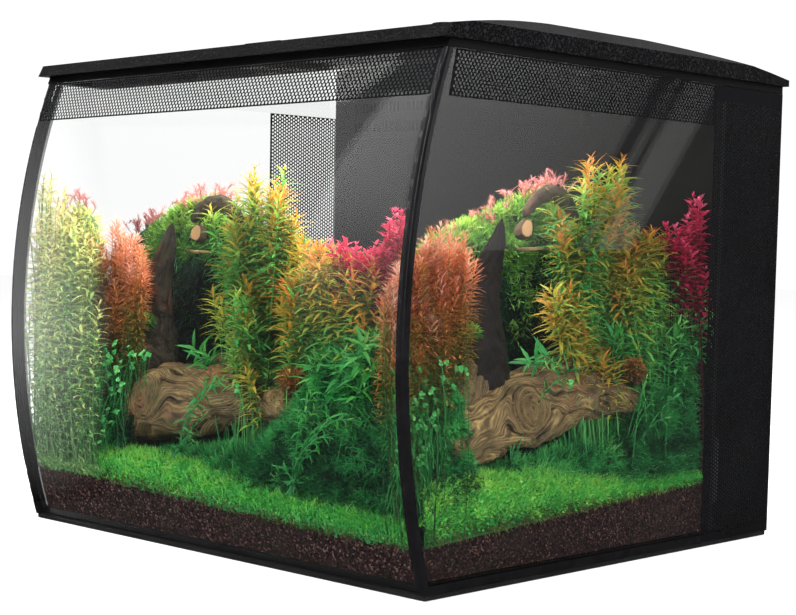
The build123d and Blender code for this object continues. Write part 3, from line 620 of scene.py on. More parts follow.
LEAVES = {
    "leaf_gold": ([(0.0, (0.004, 0.028, 0.010)), (0.22, (0.014, 0.130, 0.042)), (0.42, (0.052, 0.320, 0.085)),
                   (0.58, (0.150, 0.390, 0.085)), (0.72, (0.370, 0.360, 0.056)), (0.86, (0.520, 0.280, 0.040)),
                   (1.0, (0.560, 0.200, 0.040))], 0.30),
    "leaf_green": ([(0.0, (0.003, 0.025, 0.008)), (0.32, (0.012, 0.140, 0.040)), (0.60, (0.055, 0.340, 0.090)),
                    (0.85, (0.190, 0.520, 0.130)), (1.0, (0.380, 0.600, 0.140))], 0.30),
    "leaf_pale": ([(0.0, (0.070, 0.180, 0.070)), (0.35, (0.260, 0.500, 0.180)), (0.62, (0.640, 0.680, 0.280)),
                   (1.0, (0.860, 0.700, 0.340))], 0.35),
    "leaf_orange": ([(0.0, (0.012, 0.075, 0.016)), (0.22, (0.060, 0.170, 0.030)), (0.40, (0.270, 0.190, 0.036)),
                     (0.60, (0.560, 0.170, 0.048)), (0.82, (0.640, 0.230, 0.120)), (1.0, (0.740, 0.400, 0.320))], 0.25),
    "leaf_crimson": ([(0.0, (0.035, 0.004, 0.010)), (0.30, (0.150, 0.005, 0.026)), (0.60, (0.400, 0.010, 0.056)),
                      (0.85, (0.560, 0.045, 0.130)), (1.0, (0.680, 0.150, 0.260))], 0.25),
    "leaf_moss": ([(0.0, (0.0012, 0.008, 0.005)), (0.28, (0.004, 0.034, 0.017)), (0.50, (0.014, 0.105, 0.040)),
                   (0.75, (0.070, 0.290, 0.075)), (1.0, (0.210, 0.420, 0.090))], 0.18),
    "leaf_crown": ([(0.0, (0.008, 0.050, 0.010)), (0.35, (0.040, 0.190, 0.030)), (0.62, (0.150, 0.360, 0.050)),
                    (1.0, (0.400, 0.540, 0.100))], 0.25),
    "leaf_grass": ([(0.0, (0.002, 0.018, 0.008)), (0.30, (0.007, 0.085, 0.028)), (0.55, (0.020, 0.220, 0.058)),
                    (0.80, (0.070, 0.420, 0.110)), (1.0, (0.180, 0.560, 0.150))], 0.22),
    "leaf_carpet": ([(0.0, (0.007, 0.080, 0.022)), (0.35, (0.020, 0.250, 0.056)), (0.62, (0.066, 0.440, 0.080)),
                     (0.85, (0.180, 0.580, 0.100)), (1.0, (0.360, 0.640, 0.120))], 0.25),
    "leaf_olive": ([(0.0, (0.020, 0.014, 0.008)), (0.35, (0.060, 0.058, 0.014)), (0.70, (0.110, 0.150, 0.030)),
                    (1.0, (0.260, 0.270, 0.060))], 0.15),
    "leaf_clover": ([(0.0, (0.008, 0.090, 0.020)), (0.40, (0.026, 0.240, 0.055)), (0.75, (0.080, 0.420, 0.110)),
                     (1.0, (0.200, 0.560, 0.180))], 0.28),
    "leaf_pink": ([(0.0, (0.090, 0.050, 0.020)), (0.35, (0.320, 0.090, 0.080)), (0.65, (0.560, 0.190, 0.200)),
                   (1.0, (0.720, 0.380, 0.400))], 0.25),
    "leaf_rust": ([(0.0, (0.050, 0.030, 0.012)), (0.35, (0.200, 0.090, 0.024)), (0.65, (0.430, 0.170, 0.040)),
                   (1.0, (0.560, 0.300, 0.110))], 0.2),
}
for name_, (stops_, tr_) in LEAVES.items():
    M[name_] = leaf_material(name_, stops_, trans=tr_)

# ------------------------------------------------------------ carried-over nodes
for n in ("front_glass", "left_side_glass", "right_side_glass", "rear_glass", "bottom_glass"):
    set_mat(n, M["glass_side" if "side" in n else "glass"])
for n in ("front_seam_left", "front_seam_right", "inner_bead_left", "inner_bead_right", "rear_seams", "bottom_seal"):
    set_mat(n, M["silicone"])
set_mat("base_mat", M["mat_foam"])
set_mat("top_rim_frame", M["rim"], 0.4)
set_mat("cable_grommet", M["rubber"], 0.2)
set_mat("rear_film", M["rear_film"])
set_mat("partition", M["partition"])
for n in ("baffle_left", "baffle_right", "media_shelf"):
    set_mat(n, M["tank_plastic"], 0.15)
for n in ("foam_handle", "pump_motor", "volute_housing", "pump_cover", "outlet_nuts"):
    set_mat(n, M["tank_plastic"], 0.25)
for n in ("overflow_grille", "intake_grille", "outlet_nozzle_left", "outlet_nozzle_right", "outlet_manifold"):
    set_mat(n, M["partition"], 0.2)
set_mat("outlet_hose", M["hose"])
set_mat("pump_feet", M["rubber"], 0.2)
set_mat("impeller", M["impeller"], 0.15)
set_mat("impeller_shaft", M["ceramic"], 0.1)
set_mat("lid_shell", M["lid"], 0.5)
set_mat("feeding_flap", M["lid"], 0.35)
set_mat("flap_hinge_pin", M["steel"], 0.15)
set_mat("lamp_housing", M["tank_plastic"], 0.3)
set_mat("lamp_lens", M["lens"], 0.3)
set_mat("led_board", M["pcb"], 0.1)
set_mat("led_chips", M["led"], 0.1)
set_mat("lamp_screws", M["steel"], 0.1)
set_mat("light_button", M["rim"], 0.3)
set_mat("light_switch", M["tank_plastic"], 0.2)


# ------------------------------------------------------------ perforated films
def perforated(name, width, height, pitch_a, pitch_b, open_r, place, m, replaces,
               rows_along="u", margin=0.5, body="tank", closed=None):
    """Sheet u 0..width, v 0..height with holes in alternate rows.  Rows run along
    u at pitch_b and the holes of a row sit at pitch_a, the next row half way between.
    Above v = closed the print has no holes."""
    if rows_along == "v":
        W_, H_ = height, width
    else:
        W_, H_ = width, height
    nb = int((H_ - 2 * margin) / pitch_b)
    na = int((W_ - 2 * margin) / pitch_a)
    off_b = (H_ - nb * pitch_b) / 2
    off_a = (W_ - na * pitch_a) / 2
    V, Q, base = [], [], 0
    K = 12
    th = np.arange(K) / K * 2 * np.pi
    # each cell is a rectangle pitch_a by pitch_b; its rim is sampled where the rays meet it
    ca, cb = np.cos(th), np.sin(th)
    k = 1 / np.maximum(np.abs(ca) / (pitch_a / 2), np.abs(cb) / (pitch_b / 2))
    rim = np.stack([ca * k, cb * k], 1)
    corner = np.array([[1, 1], [-1, 1], [-1, -1], [1, -1]]) * np.array([pitch_a / 2, pitch_b / 2])
    # put the nearest rim samples exactly on the corners
    for c in corner:
        j = int(np.argmin(np.hypot(*(rim - c).T)))
        rim[j] = c
    hole = np.stack([ca * open_r * pitch_a / 2 * 0.98, cb * open_r * pitch_a / 2 * 0.98], 1)
    lim = pitch_b / 2 * 1.16
    cells = []
    for j in range(nb):
        shift = 0.5 * pitch_a if j % 2 else 0.0
        n_here = na - (1 if j % 2 else 0)
        a = off_a + pitch_a * (0.5 + np.arange(n_here)) + shift
        b = np.full(n_here, off_b + pitch_b * (j + 0.5))
        cells.append(np.stack([a, b], 1))
    cells = np.concatenate(cells)
    keep = cells[:, 1 if rows_along == "u" else 0] < (closed or 1e9)
    c_open = cells[keep]
    outer = c_open[:, None, :] + rim[None]
    inner = c_open[:, None, :] + hole[None]
    pts = np.concatenate([outer, inner], 1).reshape(-1, 2)
    b0 = (np.arange(len(c_open)) * 2 * K)[:, None]
    jj = np.arange(K)[None]
    o0, o1 = b0 + jj, b0 + (jj + 1) % K
    quads = np.stack([o0, o1, o1 + K, o0 + K], -1).reshape(-1, 4)
    V.append(pts)
    Q.append(quads)
    base = len(pts)
    # solid filler: margins and half cells at the row ends
    fill = []
    fill.append((0, 0, W_, off_b))
    fill.append((0, off_b + nb * pitch_b, W_, H_))
    for j in range(nb):
        y0, y1 = off_b + pitch_b * j, off_b + pitch_b * (j + 1)
        sh = 0.5 * pitch_a if j % 2 else 0.0
        fill.append((0, y0, off_a + sh, y1))
        fill.append((W_ - off_a - sh, y0, W_, y1))
    fill += [(a_ - pitch_a / 2, b_ - pitch_b / 2, a_ + pitch_a / 2, b_ + pitch_b / 2) for a_, b_ in cells[~keep]]
    fill = [f for f in fill if f[2] - f[0] > 1e-6 and f[3] - f[1] > 1e-6]
    fv, fq = [], []
    for (a0, b0_, a1, b1_) in fill:
        ns = max(1, int((a1 - a0) / 6))
        for i in range(ns):
            x0, x1 = a0 + (a1 - a0) * i / ns, a0 + (a1 - a0) * (i + 1) / ns
            n0 = base + len(fv)
            fv += [(x0, b0_), (x1, b0_), (x1, b1_), (x0, b1_)]
            fq.append((n0, n0 + 1, n0 + 2, n0 + 3))
    V.append(np.array(fv))
    Q.append(np.array(fq))
    P2 = np.concatenate(V)
    Q = np.concatenate(Q)
    uv = P2 if rows_along == "u" else P2[:, ::-1]
    P3 = place(uv[:, 0], uv[:, 1])
    o = build(name, P3, [Q], m, replaces=replaces, smooth=False, body=body)
    o.visible_shadow = o.visible_glossy = False
    return o


FO = 0.125   # the print sits in the middle of its film's thickness


def front_place(u, v):
    z = Z_BAND + v
    return np.stack([u - 196.0, bow(z, -FO), z], 1)


perforated("front_band_print", 392.0, 27.2, 3.30, 2.13, 0.62, front_place, M["film"], ["front_band_film"])


def right_place(u, v):
    return np.stack([np.full_like(u, X2 + FO), u - 170.0, v + 3.5], 1)


perforated("right_wrap_print", 84.4, 315.4, 2.60, 2.46, 0.66,
           lambda u, v: np.stack([np.full_like(u, X2 + FO), u + 97.0, v + 3.5], 1),
           M["film"], ["right_side_film"], rows_along="v", closed=305.0)
perforated("right_band_print", 262.0, 27.2, 3.20, 2.00, 0.60,
           lambda u, v: np.stack([np.full_like(u, X2 + FO), (u - 165.0) - 5.6 * (1 - v / 27.2) * (1 - u / 262.0), v + Z_BAND], 1),
           M["film"], [])
perforated("left_strip_print", 136.5, 315.5, 2.85, 2.56, 0.66,
           lambda u, v: np.stack([np.full_like(u, -X2 - FO), u + 45.0, v + 3.5], 1),
           M["film"], ["left_side_film"], rows_along="v", closed=309.0)


# ------------------------------------------------------------ gravel bed
def gravel_bed():
    rngg = np.random.default_rng(11)
    x0, x1, y0, y1 = -189.1, 189.1, -180.0, 113.6
    nx, ny = 210, 162
    xs, ys = np.linspace(x0, x1, nx), np.linspace(y0, y1, ny)
    X, Y = np.meshgrid(xs, ys, indexing="ij")
    Xf, Yf = X.ravel(), Y.ravel()
    Xj = Xf + rngg.uniform(-0.5, 0.5, len(Xf)) * ((Xf > x0) & (Xf < x1))
    Yj = Yf + rngg.uniform(-0.5, 0.5, len(Yf)) * ((Yf > y0) & (Yf < y1))
    Z = bed(Xf, Yf) + 1.1 * vnoise(np.stack([Xf / 3.0, Yf / 3.0, 0 * Xf], 1), 3) + 1.8 * fbm(np.stack([Xf / 26, Yf / 26, 0 * Xf], 1), 3, 5)
    Yj = Yj + (bow(Z, T + 0.9) - y0) * (1 - (Yf - y0) / (y1 - y0)) ** 8      # close up to the bowed pane
    top = np.stack([Xj, Yj, Z], 1)
    idx = np.arange(nx * ny).reshape(nx, ny)
    q = [np.stack([idx[:-1, :-1], idx[1:, :-1], idx[1:, 1:], idx[:-1, 1:]], -1).reshape(-1, 4)]
    V = [top]
    n0 = len(top)
    # walls follow the inside of the panes, with grains standing out a little
    def wall(line, n_rows, outn, ymap):
        nonlocal n0
        k = len(line)
        P = top[line]
        rows = []
        for r in range(1, n_rows + 1):
            f = r / n_rows
            z = P[:, 2] * (1 - f) + 8.3 * f
            p = np.stack([P[:, 0], P[:, 1], z], 1)
            jit = rngg.uniform(-0.45, 0.45, (k, 3)) * (0 < r < n_rows)
            jit[0] = jit[-1] = 0
            p = p + jit * (1 - np.abs(outn)) + outn * (0.45 * vnoise(p / 1.7, 9) - 0.45)[:, None] * (1 if r < n_rows else 0)
            p = ymap(p)
            rows.append(p)
        rows = np.concatenate(rows)
        ids = np.concatenate([np.asarray(line)[None], n0 + np.arange(n_rows * k).reshape(n_rows, k)])
        V.append(rows)
        q.append(np.stack([ids[:-1, :-1], ids[1:, :-1], ids[1:, 1:], ids[:-1, 1:]], -1).reshape(-1, 4))
        n0 += n_rows * k

    def fit_front(p):
        p = p.copy()
        near = bow(p[:, 2], T + 0.9)
        p[:, 1] = np.maximum(p[:, 1], near)
        return p
    wall(idx[:, 0], 22, np.array([0, -1.0, 0]), fit_front)
    wall(idx[::-1, -1], 10, np.array([0, 1.0, 0]), lambda p: p)
    wall(idx[0, ::-1], 22, np.array([-1.0, 0, 0]), fit_front)
    wall(idx[-1, :], 22, np.array([1.0, 0, 0]), fit_front)
    allv = np.concatenate(V)
    # closing underside
    c = np.array([[x0, -176.4, 8.3], [x1, -176.4, 8.3], [x1, y1, 8.3], [x0, y1, 8.3]])
    q.append(np.array([[n0, n0 + 3, n0 + 2, n0 + 1]]))
    return build("gravel_bed", np.concatenate([allv, c]), q, M["gravel"], replaces=["substrate"])


gravel_bed()


# loose grains lying on the top, mostly along the panes
def loose_grains():
    g = np.random.default_rng(23)
    n = 2600
    side = g.random(n) < 0.45
    x = np.where(side, g.uniform(150, 187, n), g.uniform(-186, 186, n))
    y = np.where(side, g.uniform(-176, 110, n), g.uniform(-177, -135, n))
    z = bed(x, y) + 0.7
    r = g.uniform(0.7, 1.5, n)
    # octahedral chips
    d = np.array([[1, 0, 0], [0, 1, 0], [-1, 0, 0], [0, -1, 0], [0, 0, 1], [0, 0, -1]], float)
    f = np.array([[0, 1, 4], [1, 2, 4], [2, 3, 4], [3, 0, 4], [1, 0, 5], [2, 1, 5], [3, 2, 5], [0, 3, 5]])
    V = d[None] * r[:, None, None] * g.uniform(0.6, 1.2, (n, 6, 1)) + np.stack([x, y, z], 1)[:, None]
    F = (f[None] + (np.arange(n) * 6)[:, None, None]).reshape(-1, 3)
    build("gravel_loose", V.reshape(-1, 3), [F], M["gravel"], smooth=False)


loose_grains()


# ------------------------------------------------------------ layout of the scape
# The scape stands twice in the tank, behind the front pane and behind the side pane.
# A place is given as a point of the camera's frame on the front pane and a depth
# behind it; side_px carries the point over to the side pane.
CAM_MM = np.array([863.007, -885.172, 204.606])
vr, vu, vb = (np.array(v) for v in (cam_r, cam_u, back))


def side_px(px, py):
    x, y = px / 400.0, py / 400.0
    return (296.27 + 561.65 * x - 32.86 * y - 3.7 * x * y - 130.55 * x * x + 21.56 * y * y,
            -50.82 + 9.4 * x + 538.38 * y - 123.25 * x * y + 26.17 * x * x - 29.6 * y * y)


def at(pane, px, py, depth):
    """Points in the tank, mm: Y grows with depth behind the front pane, X falls
    with it behind the side pane."""
    px, py, depth = np.broadcast_arrays(*(np.atleast_1d(np.asarray(v, float)) for v in (px, py, depth)))
    if pane == "side":
        px, py = side_px(px, py)
    d = ((px - 398.0) / F_PX)[:, None] * vr - ((py - 392.6) / F_PX)[:, None] * vu - vb
    if pane == "side":
        t = (190.0 - 0.5 * depth - CAM_MM[0]) / d[:, 0]
    else:
        t = (-186.0 + depth - CAM_MM[1]) / d[:, 1]
    return CAM_MM + t[:, None] * d


def in_poly(poly, g, n):
    """n points of the frame inside a polygon."""
    poly = np.array(poly, float)
    lo, hi = poly.min(0), poly.max(0)
    out = np.zeros((0, 2))
    a, b = poly, np.roll(poly, -1, axis=0)
    while len(out) < n:
        p = g.uniform(lo, hi, (4 * n, 2))
        c = ((a[None, :, 1] > p[:, None, 1]) != (b[None, :, 1] > p[:, None, 1]))
        xi = (b[:, 0] - a[:, 0])[None] * (p[:, None, 1] - a[None, :, 1]) / (b[:, 1] - a[:, 1] + 1e-9)[None] + a[None, :, 0]
        out = np.concatenate([out, p[((c & (p[:, None, 0] < xi)).sum(1) % 2) == 1]])
    return out[:n]


# ------------------------------------------------------------ driftwood
def limb(pane, points, radii, squash=(1.0, 1.0), rings=130, sides=96, ridge=0.05, lump=0.16, seed=0,
         knots=(), lines=9, tone=(0.0, 0.0)):
    """Gnarled limb.  points: frame x, y and depth.  Grain lines run along it and
    close into rings around the knots (s, angle, reach, height)."""
    P = np.array(points, float)
    pts = at(pane, P[:, 0], P[:, 1], P[:, 2])
    t = np.linspace(0, 1, len(pts))
    s = np.linspace(0, 1, rings)

    def spl(vals):
        vals = np.asarray(vals, float).reshape(len(t), -1)
        m_ = np.gradient(vals, t, axis=0)
        k = np.clip(np.searchsorted(t, s) - 1, 0, len(t) - 2)
        h = (t[k + 1] - t[k])[:, None]
        u = (s[:, None] - t[k][:, None]) / h
        return ((2 * u ** 3 - 3 * u ** 2 + 1) * vals[k] + (u ** 3 - 2 * u ** 2 + u) * h * m_[k]
                + (-2 * u ** 3 + 3 * u ** 2) * vals[k + 1] + (u ** 3 - u ** 2) * h * m_[k + 1])
    c = spl(pts)
    rad = np.maximum(spl(radii)[:, 0], 0.5)
    d = unit(np.gradient(c, axis=0))
    away = np.array([0.0, 1.0, 0.0]) if pane == "front" else np.array([-1.0, 0.0, 0.0])
    a = unit(away - d * (d @ away)[:, None])
    b = np.cross(d, a)
    th = np.linspace(0, 2 * np.pi, sides, endpoint=False)
    TH, S = np.meshgrid(th, s)
    length = np.linalg.norm(np.diff(c, axis=0), axis=1).sum()
    mean_r = rad.mean()
    SL = S * length / mean_r
    cs, sn = np.cos(TH), np.sin(TH)

    def nz(k, oct_, sd, along=1.0):
        q = np.stack([(cs * k).ravel(), (sn * k).ravel(), (SL * k * along).ravel()], 1)
        return fbm(q, oct_, sd).reshape(TH.shape)
    big = nz(0.9, 3, seed, 0.7)
    wav = nz(1.3, 2, seed + 3, 0.5)
    fine = nz(7.0, 3, seed + 9, 0.5)
    psi = lines * TH / (2 * np.pi) + 0.75 * wav
    near_all = np.zeros_like(TH)
    rr = 1 + lump * big
    for (ks, kth, kr, kh) in knots:
        dth = np.angle(np.exp(1j * (TH - kth))) + 0.10 * wav
        ds = (S - ks) * length / mean_r
        dist = np.sqrt((ds / kr) ** 2 + (dth / kr / 0.8) ** 2) * (1 + 0.10 * big)
        w = np.exp(-(dist / 1.25) ** 4)
        psi = psi * (1 - w) + w * (dist * lines * kr * 0.62)
        near_all = np.maximum(near_all, w)
        rr += kh * np.exp(-(dist / 0.9) ** 2) - 0.6 * kh * np.exp(-(dist / 0.22) ** 2)
    groove = np.abs(np.sin(np.pi * psi))
    # this mask both carves grooves into the limb and marks where painted shade darkens them
    crack_and_shade = np.clip(1 - groove / (0.30 + 0.22 * fine), 0, 1) * np.clip(0.55 + 1.3 * nz(1.8, 2, seed + 21, 0.8) + 0.5 * near_all, 0, 1)
    rr = rr - ridge * 1.5 * crack_and_shade + ridge * 0.7 * groove + 0.022 * fine + 0.03 * nz(3.0, 2, seed + 31, 0.6)
    end = np.minimum(1, np.minimum(s, 1 - s) / 0.05)[:, None] ** 0.5
    R = rad[:, None] * rr * np.maximum(end, 0.05)
    V = (c[:, None] + a[:, None] * (cs * R * squash[0])[..., None] + b[:, None] * (sn * R * squash[1])[..., None])
    i = np.arange(rings - 1)[:, None] * sides
    j = np.arange(sides)[None]
    q = np.stack([i + j, i + (j + 1) % sides, i + sides + (j + 1) % sides, i + sides + j], -1).reshape(-1, 4)
    caps = np.array([[0 + k for k in range(sides)][::-1], [(rings - 1) * sides + k for k in range(sides)]])
    tn = np.interp(S, [0, 1], tone)
    return V.reshape(-1, 3), q, caps, SL.ravel(), psi.ravel(), crack_and_shade.ravel(), tn.ravel()


def shade(limbs, k):
    """Paint shade on the first limb: k is added to its mask of cracks, so more of its colour goes to the dark tone of
    the cracks.
    """
    first = list(limbs[0])
    first[5] = np.clip(first[5] + k, 0, 1)
    return [tuple(first)] + list(limbs[1:])


def wood(name, limbs, replaces=(), m="wood"):
    V, Q, C, at_, n = [], [], [], [[], [], [], []], 0
    for v, q, c, *rest in limbs:
        V.append(v)
        Q.append(q + n)
        C.append(c + n)
        for k in range(4):
            at_[k].append(rest[k])
        n += len(v)
    V = np.concatenate(V)
    V[:, 0] = np.clip(V[:, 0], -XI + 1.2, XI - 1.2)
    V[:, 1] = np.clip(V[:, 1], bow(V[:, 2], T) + 1.2, Y_PART - 1.2)
    return build(name, V, [np.concatenate(Q)] + C, M[m],
                 dict(zip(("along", "psi", "crack_and_shade", "tone"), map(np.concatenate, at_))), replaces=replaces)


for pane, q_, rp, sd in (("front", 1.0, "driftwood_front", 1), ("side", 0.92, "driftwood_side", 21)):
    t_ = (0.8, 1.0) if pane == "front" else (1.0, 1.0)
    k_ = (1.0, 1.0) if pane == "front" else (0.85, 1.0)
    # painted shade: the trunk of the side copy gets 0.80 of painted shade, the front copy 0.04
    wood("wood_" + pane, shade([
        limb(pane, [(160, 412, 52), (156, 365, 53), (154, 332, 53), (155, 303, 52), (161, 273, 51), (168, 245, 49), (173, 222, 47)] if pane == "front" else
             [(152, 412, 56), (149, 365, 58), (149, 332, 57), (152, 303, 54), (159, 273, 51), (168, 245, 49), (173, 222, 47)],
             np.array([21, 18, 16.5, 14.5, 9.6, 6.0, 1.4] if pane == "front" else [26, 24.5, 21.5, 17.0, 11.4, 6.6, 1.5]) * q_, (0.8, 1.0), 190, 96, 0.085, 0.15, sd, (), 8, t_),
        limb(pane, [(108, 428, 38), (126, 416, 41), (150, 406, 42), (180, 402, 42), (210, 399, 42), (240, 396, 43), (268, 402, 43), (298, 412, 40), (318, 426, 38)],
             np.array([9, 19, 25, 26.5, 24, 20, 15.5, 11, 4]) * q_, k_, 260, 144, 0.085, 0.16, sd + 3,
             [(0.36, 2.9, 0.78, 0.17), (0.08, 3.3, 0.45, 0.12), (0.62, 2.6, 0.40, 0.10)], 9, (0.0, 0.5)),
        limb(pane, [(157, 340, 51), (147, 362, 49), (134, 386, 46), (122, 408, 43), (114, 430, 40)],
             np.array([13, 17, 18, 16, 8]) * q_, k_, 120, 96, 0.06, 0.14, sd + 7, [(0.55, 2.9, 0.5, 0.1)], 9, (0.7, 0.1)),
        limb(pane, [(196, 372, 50), (222, 366, 50), (246, 368, 50), (270, 380, 48)],
             np.array([7, 10, 9, 4]) * q_, (1, 0.8), 90, 64, 0.06, 0.14, sd + 9, (), 7, (0.2, 0.3)),
        limb(pane, [(268, 394, 34), (284, 403, 31), (304, 422, 28)], np.array([5, 8.6, 4.5]) * q_, (1, 1), 70, 64, 0.06, 0.1,
             sd + 11, [(0.45, 2.6, 0.45, 0.1)], 7, (0.0, 0.0)),
        limb(pane, [(192, 222, 70), (203, 209, 68), (214, 203, 66), (226, 206, 65), (236, 216, 65), (244, 232, 66)],
             np.array([2.5, 4.6, 5.6, 5.6, 4.6, 2.5]) * q_, (1, 1), 70, 64, 0.06, 0.16, sd + 13, (), 7, (0.9, 0.7)),
    ], 0.80 if pane == "side" else 0.04), [rp])


def cut_stub(pane, seed):
    """Short stub of wood with its sawn, tan face towards the pane, and a thin twig."""
    g = np.random.default_rng(seed)
    c = at(pane, 196, 233, 66)[0]
    ax = unit(np.array([0.50, -0.84, 0.10]) if pane == "front" else np.array([0.84, -0.50, 0.10]))
    up_ = unit(np.array([0.12, 0.1, 1.0]) - ax * (np.array([0.12, 0.1, 1.0]) @ ax))
    sd_ = np.cross(ax, up_)
    K = 40
    th = np.linspace(0, 2 * np.pi, K, endpoint=False)
    wob = 1 + 0.05 * np.cos(3 * th + 1) + 0.03 * g.normal(0, 1, K)
    ring = (sd_[None] * (np.cos(th) * 3.9 * wob)[:, None] + up_[None] * (np.sin(th) * 6.0 * wob)[:, None])
    V, T0 = [], []
    for off, sc in ((0.6, 0.0), (0.5, 0.35), (0.45, 0.7), (0.3, 0.93), (-0.5, 1.03), (-6, 1.05), (-14, 1.0)):
        V.append(c + ax * off + ring * sc)
        T0.append(np.full(K, sc if off > 0 else 2.0))
    n = len(V)
    i = np.arange(n - 1)[:, None] * K
    j = np.arange(K)[None]
    q = np.stack([i + j, i + K + j, i + K + (j + 1) % K, i + (j + 1) % K], -1).reshape(-1, 4)
    build("cut_stub_" + pane, np.concatenate(V), [q], M["cut"], {"r": np.concatenate(T0)})
    tw = at(pane, np.array([186, 193, 200, 206, 212]), np.array([250.5, 251.5, 252, 252, 253]), np.array([62, 60, 58, 58, 59]))
    v, q, _ = tubes(tw[None], np.array([[0.9, 1.25, 1.3, 1.1, 0.5]]), 10)
    z = np.zeros(len(v))
    build("twig_" + pane, v, [q], M["wood"], {"along": z, "psi": z + 0.3, "crack_and_shade": z + 0.35, "tone": z + 0.2})


cut_stub("front", 31)
cut_stub("side", 33)


# ------------------------------------------------------------ stem plants
def sprays(H, tips, feet, kind, seed):
    """Arching stems from feet to tips, clothed in whorls of leaves behind the tip."""
    g = np.random.default_rng(seed)
    n = len(tips)
    tips = tips + g.normal(0, 2.0, (n, 3))
    out = tips - feet
    dz = out[:, 2:3].copy()
    outh = out * np.array([1, 1, 0])
    run = np.linalg.norm(outh, axis=1, keepdims=True)
    lean = run / (run + np.abs(dz) + 1e-6)
    Z = np.array([[0, 0, 1.0]])
    arch = kind.get("arch", 1.0)
    p1 = feet + 0.12 * outh + Z * dz * 0.5 + g.normal(0, 3, (n, 3))
    p2 = tips - 0.42 * outh + Z * (arch * lean * run * 0.55 - (1 - lean) * 0.32 * dz) + g.normal(0, 2.5, (n, 3))
    K = 12
    s = np.linspace(0, 1, K)[None, :, None]

    def bez(u):
        return ((1 - u) ** 3 * feet[:, None] + 3 * u * (1 - u) ** 2 * p1[:, None]
                + 3 * u * u * (1 - u) * p2[:, None] + u ** 3 * tips[:, None])

    def dbez(u):
        return (3 * (1 - u) ** 2 * (p1 - feet)[:, None] + 6 * u * (1 - u) * (p2 - p1)[:, None]
                + 3 * u * u * (tips - p2)[:, None])
    path = bez(s)
    length = np.linalg.norm(np.diff(path, axis=1), axis=2).sum(1)
    st = kind.get("stem", 0.55)
    v, q, ss = tubes(path, np.broadcast_to(st * (1 - 0.6 * s[..., 0]), (n, K)), 4)
    H.put(v, q, h=np.clip(kind.get("stem_h", 0.45) + 0.2 * ss, 0, 1), s=0.2, rnd=0.3)
    gap, m = kind["gap"], kind["per"]
    nw = int(kind["span"] / gap)
    dist = (np.arange(nw) + 0.4) * gap                                  # from the tip down
    u = np.clip(1 - dist[None] / length[:, None] * g.uniform(0.94, 1.06, (n, 1)), 0.04, 1)[..., None]
    pos, tan = bez(u), unit(dbez(u))
    ref = np.array([0.35, 0.25, 0.9])
    e1 = unit(np.cross(tan, ref))
    e2 = np.cross(tan, e1)
    ph0 = g.uniform(0, 6.28, (n, 1)) + np.arange(nw)[None] * kind.get("turn", 1.5708)
    t_size = kind.get("tip_size", 0.36)
    size_d = np.interp(dist, [0, kind.get("full", 20), kind["span"]], [t_size, 1.0, 0.85])
    lift_d = np.interp(dist, [0, 8, 30, kind["span"]], [kind.get("tip_lift", 1.25), 0.9, kind.get("lift", 0.45), kind.get("lift", 0.45) - 0.2])
    P, D, Nn, L, h, rr = [], [], [], [], [], []
    stem_r = np.clip(g.normal(0.5, 0.24, (n, 1)), 0, 1)
    tipness = np.exp(-dist / kind.get("tip_mm", 22.0))[None]
    zs, ts = kind["tone"]
    for k in range(m):
        a = ph0 + 6.2832 * k / m + g.normal(0, 0.22, (n, nw))
        radial = e1 * np.cos(a)[..., None] + e2 * np.sin(a)[..., None]
        lf = (lift_d[None] + g.normal(0, 0.14, (n, nw)))[..., None]
        d = radial * np.cos(lf) + tan * np.sin(lf)
        nn = tan * np.cos(lf) - radial * np.sin(lf) + np.array([0, 0, 0.35])
        P.append(pos.reshape(-1, 3)); D.append(d.reshape(-1, 3)); Nn.append(nn.reshape(-1, 3))
        L.append((kind["len"] * size_d[None] * g.uniform(0.75, 1.2, (n, nw))).ravel())
        # tone by height: partly the plant's own colour (gold above, green below), partly painted shade (lower leaves
        # darker)
        tone = np.interp(pos[..., 2], zs, ts) + kind.get("tip_gain", 0.3) * tipness + kind.get("vary", 0.10) * (stem_r - 0.5) * 2
        # painted shade: leaves further down the stem from the tip, inside the bush, are darker
        tone = tone - kind.get("inner", 0.2) * (1 - np.exp(-dist / 45.0))[None]
        h.append(tone.ravel())
        rr.append(np.clip(0.6 * stem_r + 0.4 * g.random((n, nw)), 0, 1).ravel())
    P, D, Nn = map(np.concatenate, (P, D, Nn))
    L, h, rr = map(np.concatenate, (L, h, rr))
    seg = kind.get("seg", 3)
    v, q, ss = leaves(P, D, Nn, L, L * kind["ratio"], g.normal(kind["curl"], 0.22, len(P)), kind.get("fold", 0.3),
                      seg, kind.get("shape", "lance"), kind.get("wave", 0.0), seed + 1)
    rep = (seg + 1) * 3
    H.put(v, q, h=np.clip(np.repeat(h, rep), 0, 1), s=ss, rnd=np.repeat(rr, rep))


# inner sets painted shade: how much darker the leaves deep inside a bush are
FEATHER = dict(gap=4.3, per=3, len=14.5, ratio=0.185, span=92, curl=0.95, stem=0.65, seg=4, turn=1.2, lift=0.5, full=11,
               tip_mm=22.0, tip_gain=0.34, inner=0.16, tone=([50, 110, 160, 250], [0.30, 0.50, 0.60, 0.62]), vary=0.18)
BROAD = dict(gap=6.4, per=2, len=15.0, ratio=0.21, span=84, curl=1.0, stem=0.6, seg=4, lift=0.4, full=14,
             tip_mm=20.0, tip_gain=0.24, inner=0.2, tone=([40, 120, 200], [0.36, 0.54, 0.64]), vary=0.16, arch=1.6)
BRUSH = dict(gap=3.1, per=6, len=8.6, ratio=0.15, span=96, curl=0.6, stem=0.35, seg=2, turn=0.52, lift=0.36, full=8, stem_h=0.06,
             tip_mm=20.0, tip_gain=0.24, tip_size=0.5, tip_lift=1.0, inner=0.10, tone=([100, 140, 180, 225], [0.22, 0.44, 0.62, 0.74]),
             vary=0.32, shape="lance", arch=0.3)
